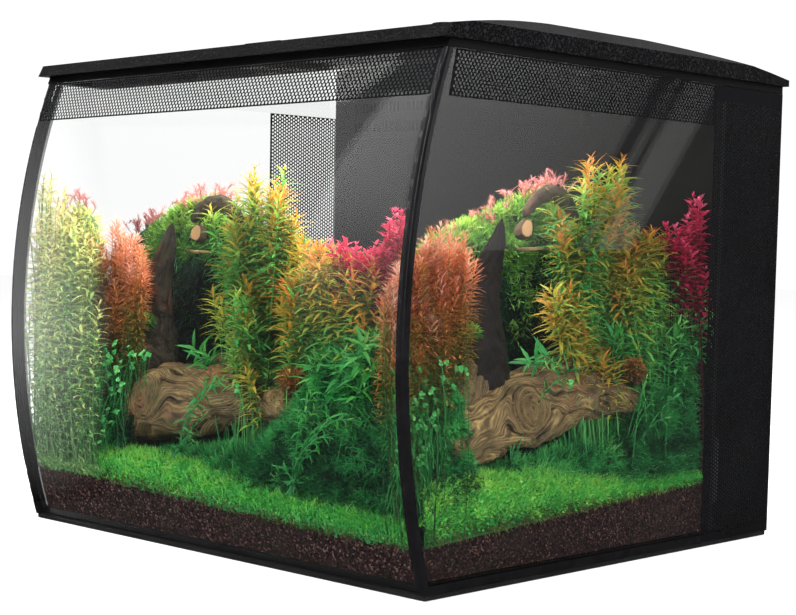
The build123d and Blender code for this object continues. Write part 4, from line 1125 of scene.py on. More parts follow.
RUBY = dict(gap=4.4, per=3, len=9.0, ratio=0.40, span=56, curl=0.6, stem=0.7, seg=4, turn=1.1, lift=0.3, tip_mm=16.0, full=9,
            tip_gain=0.20, inner=0.2, tone=([110, 170, 225], [0.20, 0.46, 0.70]), vary=0.18, shape="oval", wave=0.22, stem_h=0.0)
PALE = dict(FEATHER, tone=([30, 90, 140, 200, 250], [0.12, 0.26, 0.46, 0.64, 0.78]), tip_gain=0.18, inner=0.0, len=12.0, span=168, gap=5.4, vary=0.22, stem_h=0.1)


def stand(H, pane, poly, foot, depth, n, kind, seed, extra=(), pull=0.42):
    """Stems whose tips fill a polygon of the frame; foot: frame x and depth."""
    g = np.random.default_rng(seed)
    tp = in_poly(poly, g, n)
    if len(extra):
        tp = np.concatenate([np.array(extra, float), tp])
    n = len(tp)
    dd = g.uniform(depth[0], depth[1], n)
    tips = at(pane, tp[:, 0], tp[:, 1], dd)
    f0 = at(pane, foot[0], 430, foot[1])[0]
    fxy = f0[:2] * (1 - pull) + tips[:, :2] * pull + g.normal(0, 6, (n, 2))
    fz = np.minimum(bed(fxy[:, 0], fxy[:, 1]), tips[:, 2] - 25)
    feet = np.column_stack([fxy, fz])
    sprays(H, tips, feet, kind, seed + 1)


B1 = [(228, 218), (238, 197), (250, 180), (258, 174), (266, 190), (276, 184), (287, 174), (292, 197), (296, 226), (300, 262),
      (286, 292), (250, 297), (236, 262), (226, 236), (222, 216)]
B1_TIPS = [(258, 172), (287, 172), (251, 179), (280, 182), (241, 192), (211, 204), (296, 214), (262, 180), (290, 186)]
B2 = [(286, 262), (298, 240), (318, 236), (332, 246), (345, 252), (356, 262), (375, 268), (392, 280), (398, 300), (385, 322),
      (350, 336), (310, 332), (285, 312), (276, 284)]
B2_TIPS = [(320, 249), (345, 251), (376, 267), (300, 262), (390, 278), (336, 262), (309, 250)]
B3 = [(219, 302), (229, 290), (243, 292), (255, 305), (264, 330), (285, 350), (288, 368), (262, 382), (240, 378), (229, 362), (220, 330)]
B3_TIPS = [(214, 296), (238, 293), (222, 300), (250, 302)]
ARCH = [(330, 345), (345, 338), (372, 330), (390, 322), (392, 340), (380, 356), (376, 374), (352, 370), (330, 366)]
ARCH_TIPS = [(399, 314), (397, 330), (381, 352), (379, 372), (364, 388), (352, 350), (340, 392), (366, 338)]
MID = [(193, 352), (200, 360), (205, 350), (212, 366), (222, 352), (230, 362), (218, 372)]
CRIM = [(334, 242), (345, 239), (360, 248), (378, 246), (385, 226), (394, 214), (404, 210), (414, 232), (414, 300), (402, 314),
        (382, 302), (366, 282), (350, 264), (338, 254)]
CRIM_TIPS = [(403, 209), (394, 213), (386, 224), (388, 232), (334, 241), (345, 239), (362, 247), (376, 243)]
ORNG = [(76, 270), (84, 258), (94, 245), (104, 241), (112, 228), (119, 223), (126, 236), (138, 239), (147, 250), (153, 260),
        (148, 275), (140, 292), (134, 308), (126, 320), (112, 326), (100, 332), (90, 336), (84, 322), (80, 300), (75, 286)]
ORNG_TIPS = [(118, 220), (113, 226), (123, 228), (104, 239), (96, 243), (141, 237), (149, 249), (75, 267), (134, 237), (84, 256)]
PALE_L = [(24, 240), (30, 200), (38, 178), (49, 172), (56, 196), (66, 190), (76, 215), (80, 240), (74, 275), (62, 305), (44, 340),
          (26, 350), (22, 300)]
PALE_TIPS = [(49, 172), (36, 178), (30, 200), (66, 188), (44, 182), (58, 196)]


def plants(pane, sd):
    rep = {"front": ("plants_left_front", "plants_centre_front", "plants_crimson_front", None),
           "side": (None, "plants_centre_side", "plants_crimson_side", "plants_orange_side")}[pane]
    r = lambda k: [rep[k]] if rep[k] else []
    H = Heap()
    stand(H, pane, B1, (264, 62), (44, 84), 84, dict(FEATHER, span=84), sd + 1, B1_TIPS)
    H.make("stems_gold_" + pane, M["leaf_gold"], r(1))
    H = Heap()
    stand(H, pane, B2, (330, 44), (22, 62), 96, dict(FEATHER, span=66, tip_gain=0.34, tone=([50, 110, 160, 220], [0.36, 0.56, 0.62, 0.66] if pane == "front" else [0.30, 0.46, 0.52, 0.56]), inner=0.06), sd + 11, B2_TIPS)
    stand(H, pane, B3, (268, 40), (20, 46), 30, dict(FEATHER, span=44, tip_gain=0.22, tone=([50, 110, 180, 220], [0.40, 0.48, 0.50, 0.50] if pane == "front" else [0.50, 0.60, 0.64, 0.64]), inner=0.0), sd + 21, B3_TIPS)
    H.make("stems_amber_" + pane, M["leaf_gold"])
    H = Heap()
    stand(H, pane, ARCH, (330, 26), (6, 30), 18, dict(BROAD, span=56), sd + 31, ARCH_TIPS, 0.2)
    stand(H, pane, MID, (246, 34), (26, 40), 3, dict(BROAD, span=40), sd + 33, MID[:4], 0.15)
    stand(H, pane, [(278, 322), (300, 330), (330, 345), (322, 366), (300, 366), (280, 350)], (300, 40), (20, 46), 14,
          dict(FEATHER, span=54, tip_gain=0.12, tone=([50, 110, 180], [0.44, 0.54, 0.56]), inner=0.0), sd + 35)
    # sprigs standing in front of the log and right of it
    for (fx, tl) in ((180, [(205, 393), (228, 379), (219, 384), (190, 444), (186, 432), (201, 418)]),
                     (296, [(318, 392), (334, 388), (326, 420), (300, 476), (322, 452), (352, 418), (340, 440), (310, 410), (276, 470)])):
        tp = np.array(tl, float)
        g = np.random.default_rng(sd + fx)
        tips = at(pane, tp[:, 0], tp[:, 1], g.uniform(4, 12, len(tp)))
        f0 = at(pane, fx, 452 if fx < 200 else 484, 9)[0]
        feet = np.tile(f0, (len(tp), 1)) + g.normal(0, 1.5, (len(tp), 3))
        feet[:, 2] = f0[2]
        sprays(H, tips, feet, dict(BROAD, gap=5.2, len=9.0, span=46, arch=0.6), sd + 37 + fx)
    H.make("stems_green_" + pane, M["leaf_green"])
    H = Heap()
    crim, ctips = ([[(x if pane == "front" else 341 + (x - 334) * 0.61, y) for x, y in q] for q in (CRIM, CRIM_TIPS)])
    stand(H, pane, crim, (372, 46), (34, 64) if pane == "front" else (10, 40), 64 if pane == "front" else 40, RUBY, sd + 41, ctips, 0.6)
    H.make("stems_crimson_" + pane, M["leaf_crimson"], r(2))
    H = Heap()
    deep = ((108, 26), (12, 42)) if pane == "front" else ((108, 34), (6, 28))
    orng = [(x if pane == "front" or x < 112 or y < 270 else 108 + (x - 112) * 0.4, y) for x, y in ORNG]
    stand(H, pane, orng, *deep, 116, BRUSH, sd + 51, ORNG_TIPS, 0.62)
    H.make("stems_orange_" + pane, M["leaf_orange"], r(3))
    if pane == "front":
        H = Heap()
        stand(H, pane, PALE_L, (62, 4), (-8, 12), 64, PALE, sd + 61, PALE_TIPS, 0.7)
        stand(H, pane, [(60, 216), (80, 206), (98, 226), (104, 290), (102, 350), (84, 400), (50, 400), (40, 360)], (84, 6), (-4, 12), 46,
              PALE, sd + 63, (), 0.8)
        H.make("stems_left", M["leaf_pale"], r(0))


plants("front", 1000)
plants("side", 2000)


# ------------------------------------------------------------ moss banks
class Bank:
    """Bank of moss: a crest along points of the frame, falling to the bed on both sides."""

    def __init__(self, pane, crest, d0, d1, seed, relief=5.0, power=0.55, foot=-2.0):
        self.pane, self.seed, self.relief, self.power, self.foot = pane, seed, relief, power, foot
        c = np.array(crest, float)
        p = at(pane, c[:, 0], c[:, 1], (d0 + d1) / 2)
        self.ax = 0 if pane == "front" else 1
        self.a, self.z = p[:, self.ax], p[:, 2]
        o = np.argsort(self.a)
        self.a, self.z = self.a[o], self.z[o]
        lim = (-188.5, 188.5) if pane == "front" else (-173.0, 109.0)
        self.lo, self.hi = max(self.a[0], lim[0]), min(self.a[-1], lim[1])
        self.y0, self.y1 = (-186 + d0, -186 + d1) if pane == "front" else (190 - 0.5 * d0, 190 - 0.5 * d1)

    def surf(self, a, t):
        cz = np.interp(a, self.a, self.z)
        f = 0.5 - 0.5 * np.cos(np.pi * t)
        y = self.y0 + (self.y1 - self.y0) * f
        x_, y_ = (a, y) if self.ax == 0 else (y, a)
        zb = bed(x_, y_) + self.foot
        z = zb + np.maximum(cz - zb, 3.0) * np.sin(np.pi * t) ** self.power
        q = np.stack([a / 15.0, t * 5.0, z / 17.0], 1)
        n1 = fbm(q, 3, self.seed)
        n2 = fbm(q * 3.1, 2, self.seed + 5)
        y = y - np.sign(self.y1 - self.y0) * self.relief * (n1 * 1.0 + n2 * 0.35) * np.sin(np.pi * np.clip(t, 0, 1)) ** 0.4
        z = z + 0.35 * self.relief * n1 * np.sin(np.pi * t)
        return np.stack([a, y, z], 1) if self.ax == 0 else np.stack([y, a, z], 1)

    def core(self, H, na=110, nt=46, h=0.05):
        a, t = np.meshgrid(np.linspace(self.lo, self.hi, na), np.linspace(0.0, 1.0, nt), indexing="ij")
        V = self.surf(a.ravel(), t.ravel())
        V[:, 1] = np.where(np.isfinite(V[:, 1]), V[:, 1], 0)
        i = np.arange(na - 1)[:, None] * nt
        j = np.arange(nt - 1)[None]
        q = np.stack([i + j, i + nt + j, i + nt + j + 1, i + j + 1], -1).reshape(-1, 4)
        H.put(V, q, h=h, s=0.3, rnd=0.3)
        # ends and foot closed by fans
        for e in (0, na - 1):
            ring = np.arange(nt) + e * nt
            mid = V[ring].mean(0)
            mid[2] = V[ring][:, 2].min()
            vv = np.concatenate([V[ring], mid[None]])
            f = np.array([(k, k + 1, nt, nt) for k in range(nt - 1)])
            H.put(vv, f, h=h, s=0.3, rnd=0.3)

    def clothe(self, H, n, seed, ln, ratio, tone, tr=(0.02, 0.75), ar=(0, 1), per=1, out=0.9, up_=0.35, rnd=0.5, curl=0.6,
               shape="needle", seg=2, patch=0.22, lift=0.0, crest_gain=0.0):
        g = np.random.default_rng(seed)
        a = self.lo + (self.hi - self.lo) * g.uniform(ar[0], ar[1], n)
        tg = np.linspace(0, 1, 80)
        am = np.full(80, (self.lo + self.hi) / 2)
        arc = np.concatenate([[0], np.cumsum(np.linalg.norm(np.diff(self.surf(am, tg), axis=0), axis=1))])
        lo_, hi_ = np.interp(tr, tg, arc)
        t = np.interp(g.uniform(lo_, hi_, n), arc, tg)
        P = self.surf(a, t)
        e = 0.8
        Pa = self.surf(a + e, t) - P
        Pt = self.surf(a, np.clip(t + 0.01, 0, 1)) - P
        N = unit(np.cross(Pa, Pt))
        flip = np.sign(N[:, self.ax ^ 1] * (-1 if self.ax == 0 else 1)) * np.where(t > 0.54, -1.0, 1.0)
        N = N * np.where(flip == 0, 1, flip)[:, None]
        N = np.where((N[:, 2:3] < -0.3), -N, N)
        P = P + N * lift
        patchn = vnoise(P / 9.0, seed + 3)
        P, N, patchn = (np.repeat(v, per, axis=0) for v in (P, N, patchn))
        m = len(P)
        D = unit(N * out + np.array([0, 0, up_]) + g.normal(0, rnd, (m, 3)))
        Nn = unit(np.array([0, 0, 1.0]) + 0.6 * N + g.normal(0, 0.4, (m, 3)))
        L = g.uniform(ln[0], ln[1], m)
        v, q, ss = leaves(P, D, Nn, L, L * ratio, g.normal(curl, 0.3, m), 0.25, seg, shape)
        rep = (seg + 1) * 3
        zs, ts = tone
        # tone by height: partly the plants' own colour, partly painted shade (lower leaves darker)
        h = np.interp(P[:, 2], zs, ts) + patch * patchn + g.normal(0, 0.07, m)
        H.put(v, q, h=np.clip(np.repeat(h, rep) + 0.16 * ss, 0, 1), s=ss, rnd=np.repeat(g.random(m), rep))


def banks(pane, sd):
    side = pane == "side"
    mound = {"front": "moss_mound_front", "side": "moss_mound_side"}[pane]
    # the wall behind the trunk, with its bright crown
    crest = [(92, 262), (112, 240), (135, 229), (160, 221), (188, 209), (214, 202), (234, 214), (252, 238), (300, 246), (330, 248), (372, 262), (400, 300), (425, 330)]
    B = Bank(pane, crest, *((76, 116) if pane == "front" else (112, 172)), sd, 5.0, 0.5)
    H = Heap()
    B.core(H)
    B.clothe(H, 9000, sd + 1, (5, 11), 0.10, ([60, 130, 190, 215], [0.04, 0.10, 0.28, 0.42]), (0.01, 0.6), (0, 1), 1, 0.8, -0.15, 0.6, 1.3, patch=0.32)
    B.clothe(H, 5000, sd + 2, (2.5, 5), 0.22, ([60, 130, 190, 215], [0.08, 0.18, 0.40, 0.58]), (0.01, 0.6), (0, 0.75), 1, 1.0, 0.1, 0.7, 0.5, patch=0.4, lift=1.0)
    B.clothe(H, 8500, sd + 5, (4, 10), 0.17, ([60, 130, 190, 215], [0.34, 0.48, 0.60, 0.66]), (0.56, 0.99), (0, 1), 1, 1.0, 0.2, 0.6, 0.8, patch=0.36, lift=0.5)
    H.make("moss_" + pane, M["leaf_moss"], [mound])
    H = Heap()
    B.clothe(H, 3000, sd + 3, (3.5, 8), 0.20, ([150, 185, 215, 230], [0.12, 0.34, 0.56, 0.70]), (0.22, 0.62), (0.05, 0.62), 3, 1.0, 0.5, 0.55, 0.6, lift=1.5)
    B.clothe(H, 2000, sd + 4, (3, 6), 0.24, ([100, 200], [0.30, 0.62]), (0.10, 0.5), (0.36, 0.95), 2, 1.0, 0.2, 0.6, 0.7, "lance", 2, lift=2.0)
    H.make("moss_crown_" + pane, M["leaf_crown"])
    # needle moss right of the log, and the darker slope below it
    crest = [(262, 452), (284, 436), (305, 408), (325, 372), (345, 344), (368, 326), (398, 318), (424, 320), (440, 330)]
    B = Bank(pane, crest, 14, 70, sd + 10, 5.0, 0.62)
    H = Heap()
    B.core(H, 90, 40)
    B.clothe(H, 4600, sd + 11, (4, 9), 0.13, ([40, 90, 150], [0.12, 0.34, 0.50]), (0.01, 0.55), (0, 1), 4, 1.0, 0.35, 0.55, 0.4, lift=0.5, patch=0.36)
    H.make("moss_right_" + pane, M["leaf_grass"])
    crest = [(100, 444), (130, 447), (165, 452), (200, 452), (240, 446), (285, 452), (325, 462), (372, 470), (410, 478), (436, 480)]
    B = Bank(pane, crest, 12, 66, sd + 20, 3.5, 0.62)
    H = Heap()
    B.core(H, 90, 34)
    B.clothe(H, 4600, sd + 21, (4, 9), 0.12, ([34, 60, 90], [0.28, 0.48, 0.62]), (0.01, 0.6), (0, 1), 4, 1.0, 0.3, 0.6, 0.5, lift=0.5, patch=0.40)
    H.make("moss_slope_" + pane, M["leaf_grass"])
    # under the orange stems
    crest = [(18, 372), (40, 358), (66, 350), (92, 352), (118, 364), (132, 388), (140, 424)]
    B = Bank(pane, crest, 13, 42, sd + 30, 4.5, 0.8)
    H = Heap()
    B.core(H, 60, 40)
    B.clothe(H, 5200, sd + 31, (3, 8), 0.20, ([40, 70, 110, 150], [0.12, 0.24, 0.46, 0.58]), (0.01, 0.6), (0, 1), 3, 1.0, 0.2, 0.7, 0.6, "lance", 2, lift=0.5, patch=0.42)
    H.make("moss_low_" + pane, M["leaf_grass"])
    # bright carpet along the pane
    crest = [(14, 453), (60, 450), (100, 448), (141, 452), (200, 465), (272, 489), (330, 503), (376, 513), (432, 526)]
    B = Bank(pane, crest, 0.5, 32, sd + 40, 1.6, 0.8, -1.0)
    H = Heap()
    B.core(H, 150, 26, 0.25)
    B.clothe(H, 13000, sd + 41, (1.5, 2.9), 0.72, ([28, 40, 60], [0.34, 0.58, 0.80]), (0.02, 0.62), (0, 1), 1, 0.7, 0.7, 0.8, 0.3, "round", 2, 0.26, 0.5)
    B.clothe(H, 4500, sd + 42, (3, 6.5), 0.13, ([28, 40, 60], [0.36, 0.55, 0.75]), (0.05, 0.7), (0, 1), 2, 0.6, 0.9, 0.5, 0.3, "needle", 2, 0.2, 0.5)
    H.make("carpet_" + pane, M["leaf_carpet"])
    # olive fringe where the carpet thins out over the gravel
    H = Heap()
    B.clothe(H, 5200, sd + 43, (1.2, 3.6), 0.3, ([24, 60], [0.25, 0.55]), (0.0, 0.10), (0, 1), 1, 0.9, -0.2, 0.9, 0.3, "lance", 2, 0.2, 0.3)
    H.make("carpet_fringe_" + pane, M["leaf_olive"])


banks("front", 3000)
banks("side", 4000)


def far_left(sd):
    """Low hummock at the far left, pale and fine."""
    B = Bank("front", [(52, 286), (62, 248), (73, 218), (83, 208), (91, 218), (98, 242), (103, 280)], 8, 28, sd, 3.0, 0.5)
    H = Heap()
    B.core(H, 50, 36, 0.2)
    B.clothe(H, 5000, sd + 1, (3, 7), 0.18, ([80, 150, 200], [0.28, 0.48, 0.66]), (0.01, 0.6), (0, 1), 2, 1.0, 0.2, 0.6, 0.6, "lance", 2, lift=0.5)
    H.make("moss_far_left", M["leaf_pale"])


far_left(5000)


def clump_of(name, centre, radius, n, seed, mname, ln=(2.5, 5.0)):
    """Small round clump of fine leaves on the wood, painted lighter on top and darker underneath."""
    g = np.random.default_rng(seed)
    c, r = np.array(centre, float), np.array(radius, float)
    H = Heap()
    d = unit(g.normal(0, 1, (n, 3)))
    lump = 1 + 0.25 * fbm(d * 2.6 + seed, 3, seed)
    p = c + d * r * (lump * g.uniform(0.25, 1.0, n) ** 0.5)[:, None]
    D = unit(d + g.normal(0, 0.5, (n, 3)))
    L = g.uniform(ln[0], ln[1], n)
    v, q, ss = leaves(p, D, unit(g.normal(0, 1, (n, 3)) + np.array([0, 0, 1.0])), L, L * 0.34, 0.5, 0.25, 2, "lance")
    # painted light: leaves on top of the clump are lighter, those underneath darker
    H.put(v, q, h=np.clip(np.repeat(0.30 + 0.32 * d[:, 2] + g.normal(0, 0.12, n), 9), 0, 1), s=ss, rnd=np.repeat(g.random(n), 9))
    H.make(name, M[mname])


for pane, sd in (("front", 61), ("side", 63)):
    clump_of("tuft_rust_" + pane, at(pane, 297, 381, 28)[0], (13, 9, 8), 2400, sd, "leaf_rust", (2.0, 4.2))
    clump_of("tuft_trunk_" + pane, at(pane, 146, 321, 36)[0], (6, 4, 4), 300, sd + 7, "leaf_crown")


# pink feathery fringe along the crown of the mound
def fringe(name, pane, line, n, seed, depth):
    g = np.random.default_rng(seed)
    line = np.array(line, float)
    t = g.uniform(0, 1, n)
    k = np.linspace(0, 1, len(line))
    px, py = np.interp(t, k, line[:, 0]) + g.normal(0, 2, n), np.interp(t, k, line[:, 1]) + g.uniform(0, 5, n)
    base = at(pane, px, py, g.uniform(*depth, n))
    tip = base + np.stack([g.normal(0, 4.5, n), g.normal(0, 4.5, n), g.uniform(5, 13, n)], 1)
    H = Heap()
    sprays(H, tip, base, dict(gap=1.3, per=4, len=4.2, ratio=0.14, span=11, curl=0.2, stem=0.3, seg=2, turn=0.7, lift=0.8,
                              full=6, tip_mm=8, tip_gain=0.2, tone=([180, 250], [0.45, 0.60]), shape="needle", arch=0.5, vary=0.2), seed + 1)
    H.make(name, M["leaf_pink"])


CREST = [(128, 232), (150, 224), (168, 218), (186, 207), (204, 200), (220, 200), (232, 204)]
fringe("fringe_front", "front", CREST, 80, 401, (84, 104))
fringe("fringe_side", "side", CREST, 80, 403, (124, 156))
fringe("fringe_left", "front", [(62, 222), (72, 207), (82, 201), (90, 210)], 20, 405, (8, 18))


# ------------------------------------------------------------ planting between the banks
def carpet(name, n, region, seed, mname, size=(1.8, 3.4), rise=(1.0, 9.0), shape="round", ratio=0.75, hi=1.0):
    g = np.random.default_rng(seed)
    x, y, dens = region(g, n)
    z = bed(x, y)
    up_ = g.uniform(0, 1, len(x)) ** 1.3
    hgt = rise[0] + (rise[1] - rise[0]) * up_ * dens
    p = np.stack([x, y, z + hgt], 1)
    a = g.uniform(0, 6.28, len(x))
    tilt = g.uniform(0.1, 1.0, len(x))
    d = np.stack([np.cos(a) * np.cos(tilt), np.sin(a) * np.cos(tilt), np.sin(tilt)], 1)
    nn = np.tile(np.array([0, 0, 1.0]), (len(x), 1)) + g.normal(0, 0.3, (len(x), 3))
    L = g.uniform(size[0], size[1], len(x))
    v, q, ss = leaves(p, d, nn, L, L * ratio, 0.3, 0.3, 2, shape)
    H = Heap()
    # painted shade: leaves low on the bed are darker, those raised higher lighter
    H.put(v, q, h=np.repeat(np.clip(0.25 + 0.5 * up_ * hi + g.normal(0, 0.08, len(x)), 0, 1), 9), s=ss,
          rnd=np.repeat(g.random(len(x)), 9))
    return H.make(name, M[mname])


def middle(g, n):
    x, y = g.uniform(-188, 110, n), g.uniform(-78, 110, n)
    return x, y, 0.5 + 0.4 * vnoise(np.stack([x / 30, y / 30, 0 * x], 1), 75)


carpet("carpet_middle", 15000, middle, 505, "leaf_carpet", (2.0, 4.0), (0.5, 8.0))


def tufts(name, n, region, seed, mname, ln=(10, 26), ratio=0.06, lean=0.5):
    g = np.random.default_rng(seed)
    x, y, dens = region(g, n)
    p = np.stack([x, y, bed(x, y)], 1)
    a = g.uniform(0, 6.28, len(x))
    el_ = np.clip(g.normal(1.1, lean * 0.6, len(x)), 0.3, 1.5)
    d = np.stack([np.cos(a) * np.cos(el_), np.sin(a) * np.cos(el_), np.sin(el_)], 1)
    nn = np.stack([-np.cos(a), -np.sin(a), np.full(len(x), 0.5)], 1)
    L = g.uniform(ln[0], ln[1], len(x)) * (0.5 + 0.6 * dens)
    v, q, ss = leaves(p, d, nn, L, L * ratio, -1.0, 0.3, 3, "needle")
    H = Heap()
    H.put(v, q, h=np.clip(0.2 + 0.5 * ss, 0, 1), s=ss, rnd=np.repeat(g.random(len(x)), 12))
    return H.make(name, M[mname])


tufts("grass_middle", 5200, lambda g, n: (g.uniform(-186, 96, n), g.uniform(-74, 108, n), np.full(n, 1.0)), 605, "leaf_grass", (14, 40))


# clover-like leaves on thin stalks, turned to the pane
def clover(name, pane, poly, n, depth, seed):
    g = np.random.default_rng(seed)
    tp = in_poly(poly, g, n)
    top = at(pane, tp[:, 0], tp[:, 1], g.uniform(depth[0], depth[1], n))
    base = top + np.column_stack([g.normal(0, 6, n), g.normal(0, 3, n), -g.uniform(14, 34, n)])
    base[:, 2] = np.maximum(base[:, 2], bed(base[:, 0], base[:, 1]))
    s = np.linspace(0, 1, 6)
    path = base[:, None] * (1 - s)[None, :, None] + top[:, None] * s[None, :, None]
    path = path + g.normal(0, 2, (n, 1, 3)) * np.sin(np.pi * s)[None, :, None]
    H = Heap()
    v, q, ss = tubes(path, np.full((n, 6), 0.22), 4)
    H.put(v, q, h=0.35, s=0.2, rnd=0.5)
    face = unit((np.array([0.25, -0.75, 0.62]) if pane == "front" else np.array([0.75, -0.25, 0.62]))[None] + g.normal(0, 0.28, (n, 3)))
    e1 = unit(np.cross(face, np.array([0.2, 0.3, 0.93])))
    e2 = np.cross(face, e1)
    a0 = g.uniform(0, 6.28, n)
    hue = g.uniform(0.35, 0.95, n)
    size = g.uniform(1.5, 2.6, n)
    for k in range(3):
        a = a0 + 2.094 * k
        d = e1 * np.cos(a)[:, None] + e2 * np.sin(a)[:, None]
        v, q, ss = leaves(top, d, face, size, size * 0.98, 0.15, 0.18, 4, "round")
        H.put(v, q, h=np.repeat(hue, 15), s=ss, rnd=np.repeat(g.random(n), 15))
    H.make(name, M["leaf_clover"])


CLOV = [(66, 345), (84, 336), (110, 340), (146, 348), (152, 358), (134, 366), (122, 392), (116, 420), (104, 440), (88, 446), (62, 436), (50, 415), (66, 398), (70, 370)]
for pane, sd in (("front", 701), ("side", 711)):
    clover("clover_" + pane, pane, CLOV, 190, (-4, 10), sd)
    clover("clover_log_" + pane, pane, [(230, 380), (244, 384), (240, 394), (232, 392)], 3, (8, 12), sd + 2)


# ------------------------------------------------------------ water
def water_material():
    """Mirror at a grazing look, as still water is from below, and clear at a steep one."""
    m, nt = mat("water_surface")
    v = coords(nt)
    lw = nd(nt, "ShaderNodeLayerWeight", i_Blend=0.5)
    fac = rng_map(nt, lw.outputs["Facing"], 0.68, 0.82, 0.03, 0.97)
    nrm = bump(nt, noise(nt, v, 30, 2, 0.4), 0.05, 0.06)
    gl = nd(nt, "ShaderNodeBsdfGlossy", i_Roughness=rng_map(nt, noise(nt, v, 8, 3), 0.3, 0.7, 0.0, 0.02), i_Normal=nrm)
    gl.inputs["Color"].default_value = (0.96, 0.98, 0.97, 1)
    tr = nd(nt, "ShaderNodeBsdfTransparent")
    tr.inputs["Color"].default_value = (0.97, 0.99, 0.985, 1)
    mx = nd(nt, "ShaderNodeMixShader", i_Fac=fac)
    nt.links.new(tr.outputs[0], mx.inputs[1])
    nt.links.new(gl.outputs[0], mx.inputs[2])
    output(nt, mx.outputs[0])
    return m


def water_surface():
    """Still surface under the lamp, turned up in a small meniscus at the panes."""
    z = 312.0
    near = float(bow(np.array([z]), T)[0]) + 0.6
    u = np.concatenate([[0, 0.35, 0.9, 1.8, 3.2], np.linspace(6, 370, 60), [372.8, 374.2, 375.1, 375.65, 376.0]]) / 376.0
    w = np.concatenate([[0, 0.35, 0.9, 1.8, 3.2], np.linspace(6, 270, 46), [273, 274.4, 275.3, 275.85, 276.2]]) / 276.2
    x, y = -189.0 + 378.0 * u, near + (Y_PART - 0.6 - near) * w
    X, Y = np.meshgrid(x, y, indexing="ij")
    edge = np.minimum(np.minimum(X + 189, 189 - X), np.minimum(Y - y[0], y[-1] - Y))
    q = np.stack([X.ravel() / 60, Y.ravel() / 60, 0 * X.ravel()], 1)
    Z = z + 1.6 * np.exp(-edge / 1.1) + 0.05 * fbm(q, 2, 77).reshape(X.shape)
    n0, n1 = X.shape
    i = np.arange(n0 - 1)[:, None] * n1
    j = np.arange(n1 - 1)[None]
    f = np.stack([i + j, i + n1 + j, i + n1 + j + 1, i + j + 1], -1).reshape(-1, 4)
    o = build("water_surface", np.stack([X, Y, Z], -1).reshape(-1, 3), [f], water_material())
    o.visible_shadow = o.visible_diffuse = False
    return o


water_surface()


# ------------------------------------------------------------ filter media
def foam_piece():
    """Open-cell foam block, its faces pitted and its edges a little soft."""
    lo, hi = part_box("foam_block")
    lo, hi = np.array(lo) / MM, np.array(hi) / MM
    m, nt = mat("filter_foam")
    v = coords(nt)
    pores = voronoi(nt, v, 520, "F1")
    cloud = noise(nt, v, 30, 4)
    # painted shade in the pores: the colour darkens towards each pore's centre
    col = ramp(nt, pores, [(0.15, (0.015, 0.015, 0.016)), (0.6, (0.085, 0.085, 0.088))])
    col = mixc(nt, rng_map(nt, cloud, 0.4, 0.7, 0, 0.5), col, (0.05, 0.04, 0.028))
    p = principled(nt, col, rng_map(nt, cloud, 0.3, 0.7, 0.8, 0.95), bump(nt, pores, 1.0, 0.8), IOR_Level=0.2)
    output(nt, p.outputs[0])
    me = bpy.data.meshes.new("foam_sponge")
    import bmesh
    bm = bmesh.new()
    bmesh.ops.create_cube(bm, size=2.0)
    bmesh.ops.subdivide_edges(bm, edges=bm.edges[:], cuts=24, use_grid_fill=True)
    c, h = (lo + hi) / 2, (hi - lo) / 2
    P = np.array([v_.co for v_ in bm.verts])
    q = P * h
    # rounded edges, and pits over every face
    inner = h - 4.0
    core = np.clip(q, -inner, inner)
    dd = q - core
    ln = np.linalg.norm(dd, axis=1, keepdims=True)
    q = core + dd / np.maximum(ln, 1e-6) * np.minimum(ln, 4.0)
    w = q + c
    nz = vnoise(w / 3.0, 5) * 0.7 + vnoise(w / 1.4, 6) * 0.4 - 1.2
    q = q + unit(q / h ** 1.0) * nz[:, None]
    for v_, pnt in zip(bm.verts, (q + c) * MM):
        v_.co = pnt
    bm.to_mesh(me)
    bm.free()
    me.materials.append(m)
    for poly in me.polygons:
        poly.use_smooth = True
    o = bpy.data.objects.new("foam_sponge", me)
    scene.collection.objects.link(o)
    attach(o, "tank")
    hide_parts("foam_block")


foam_piece()


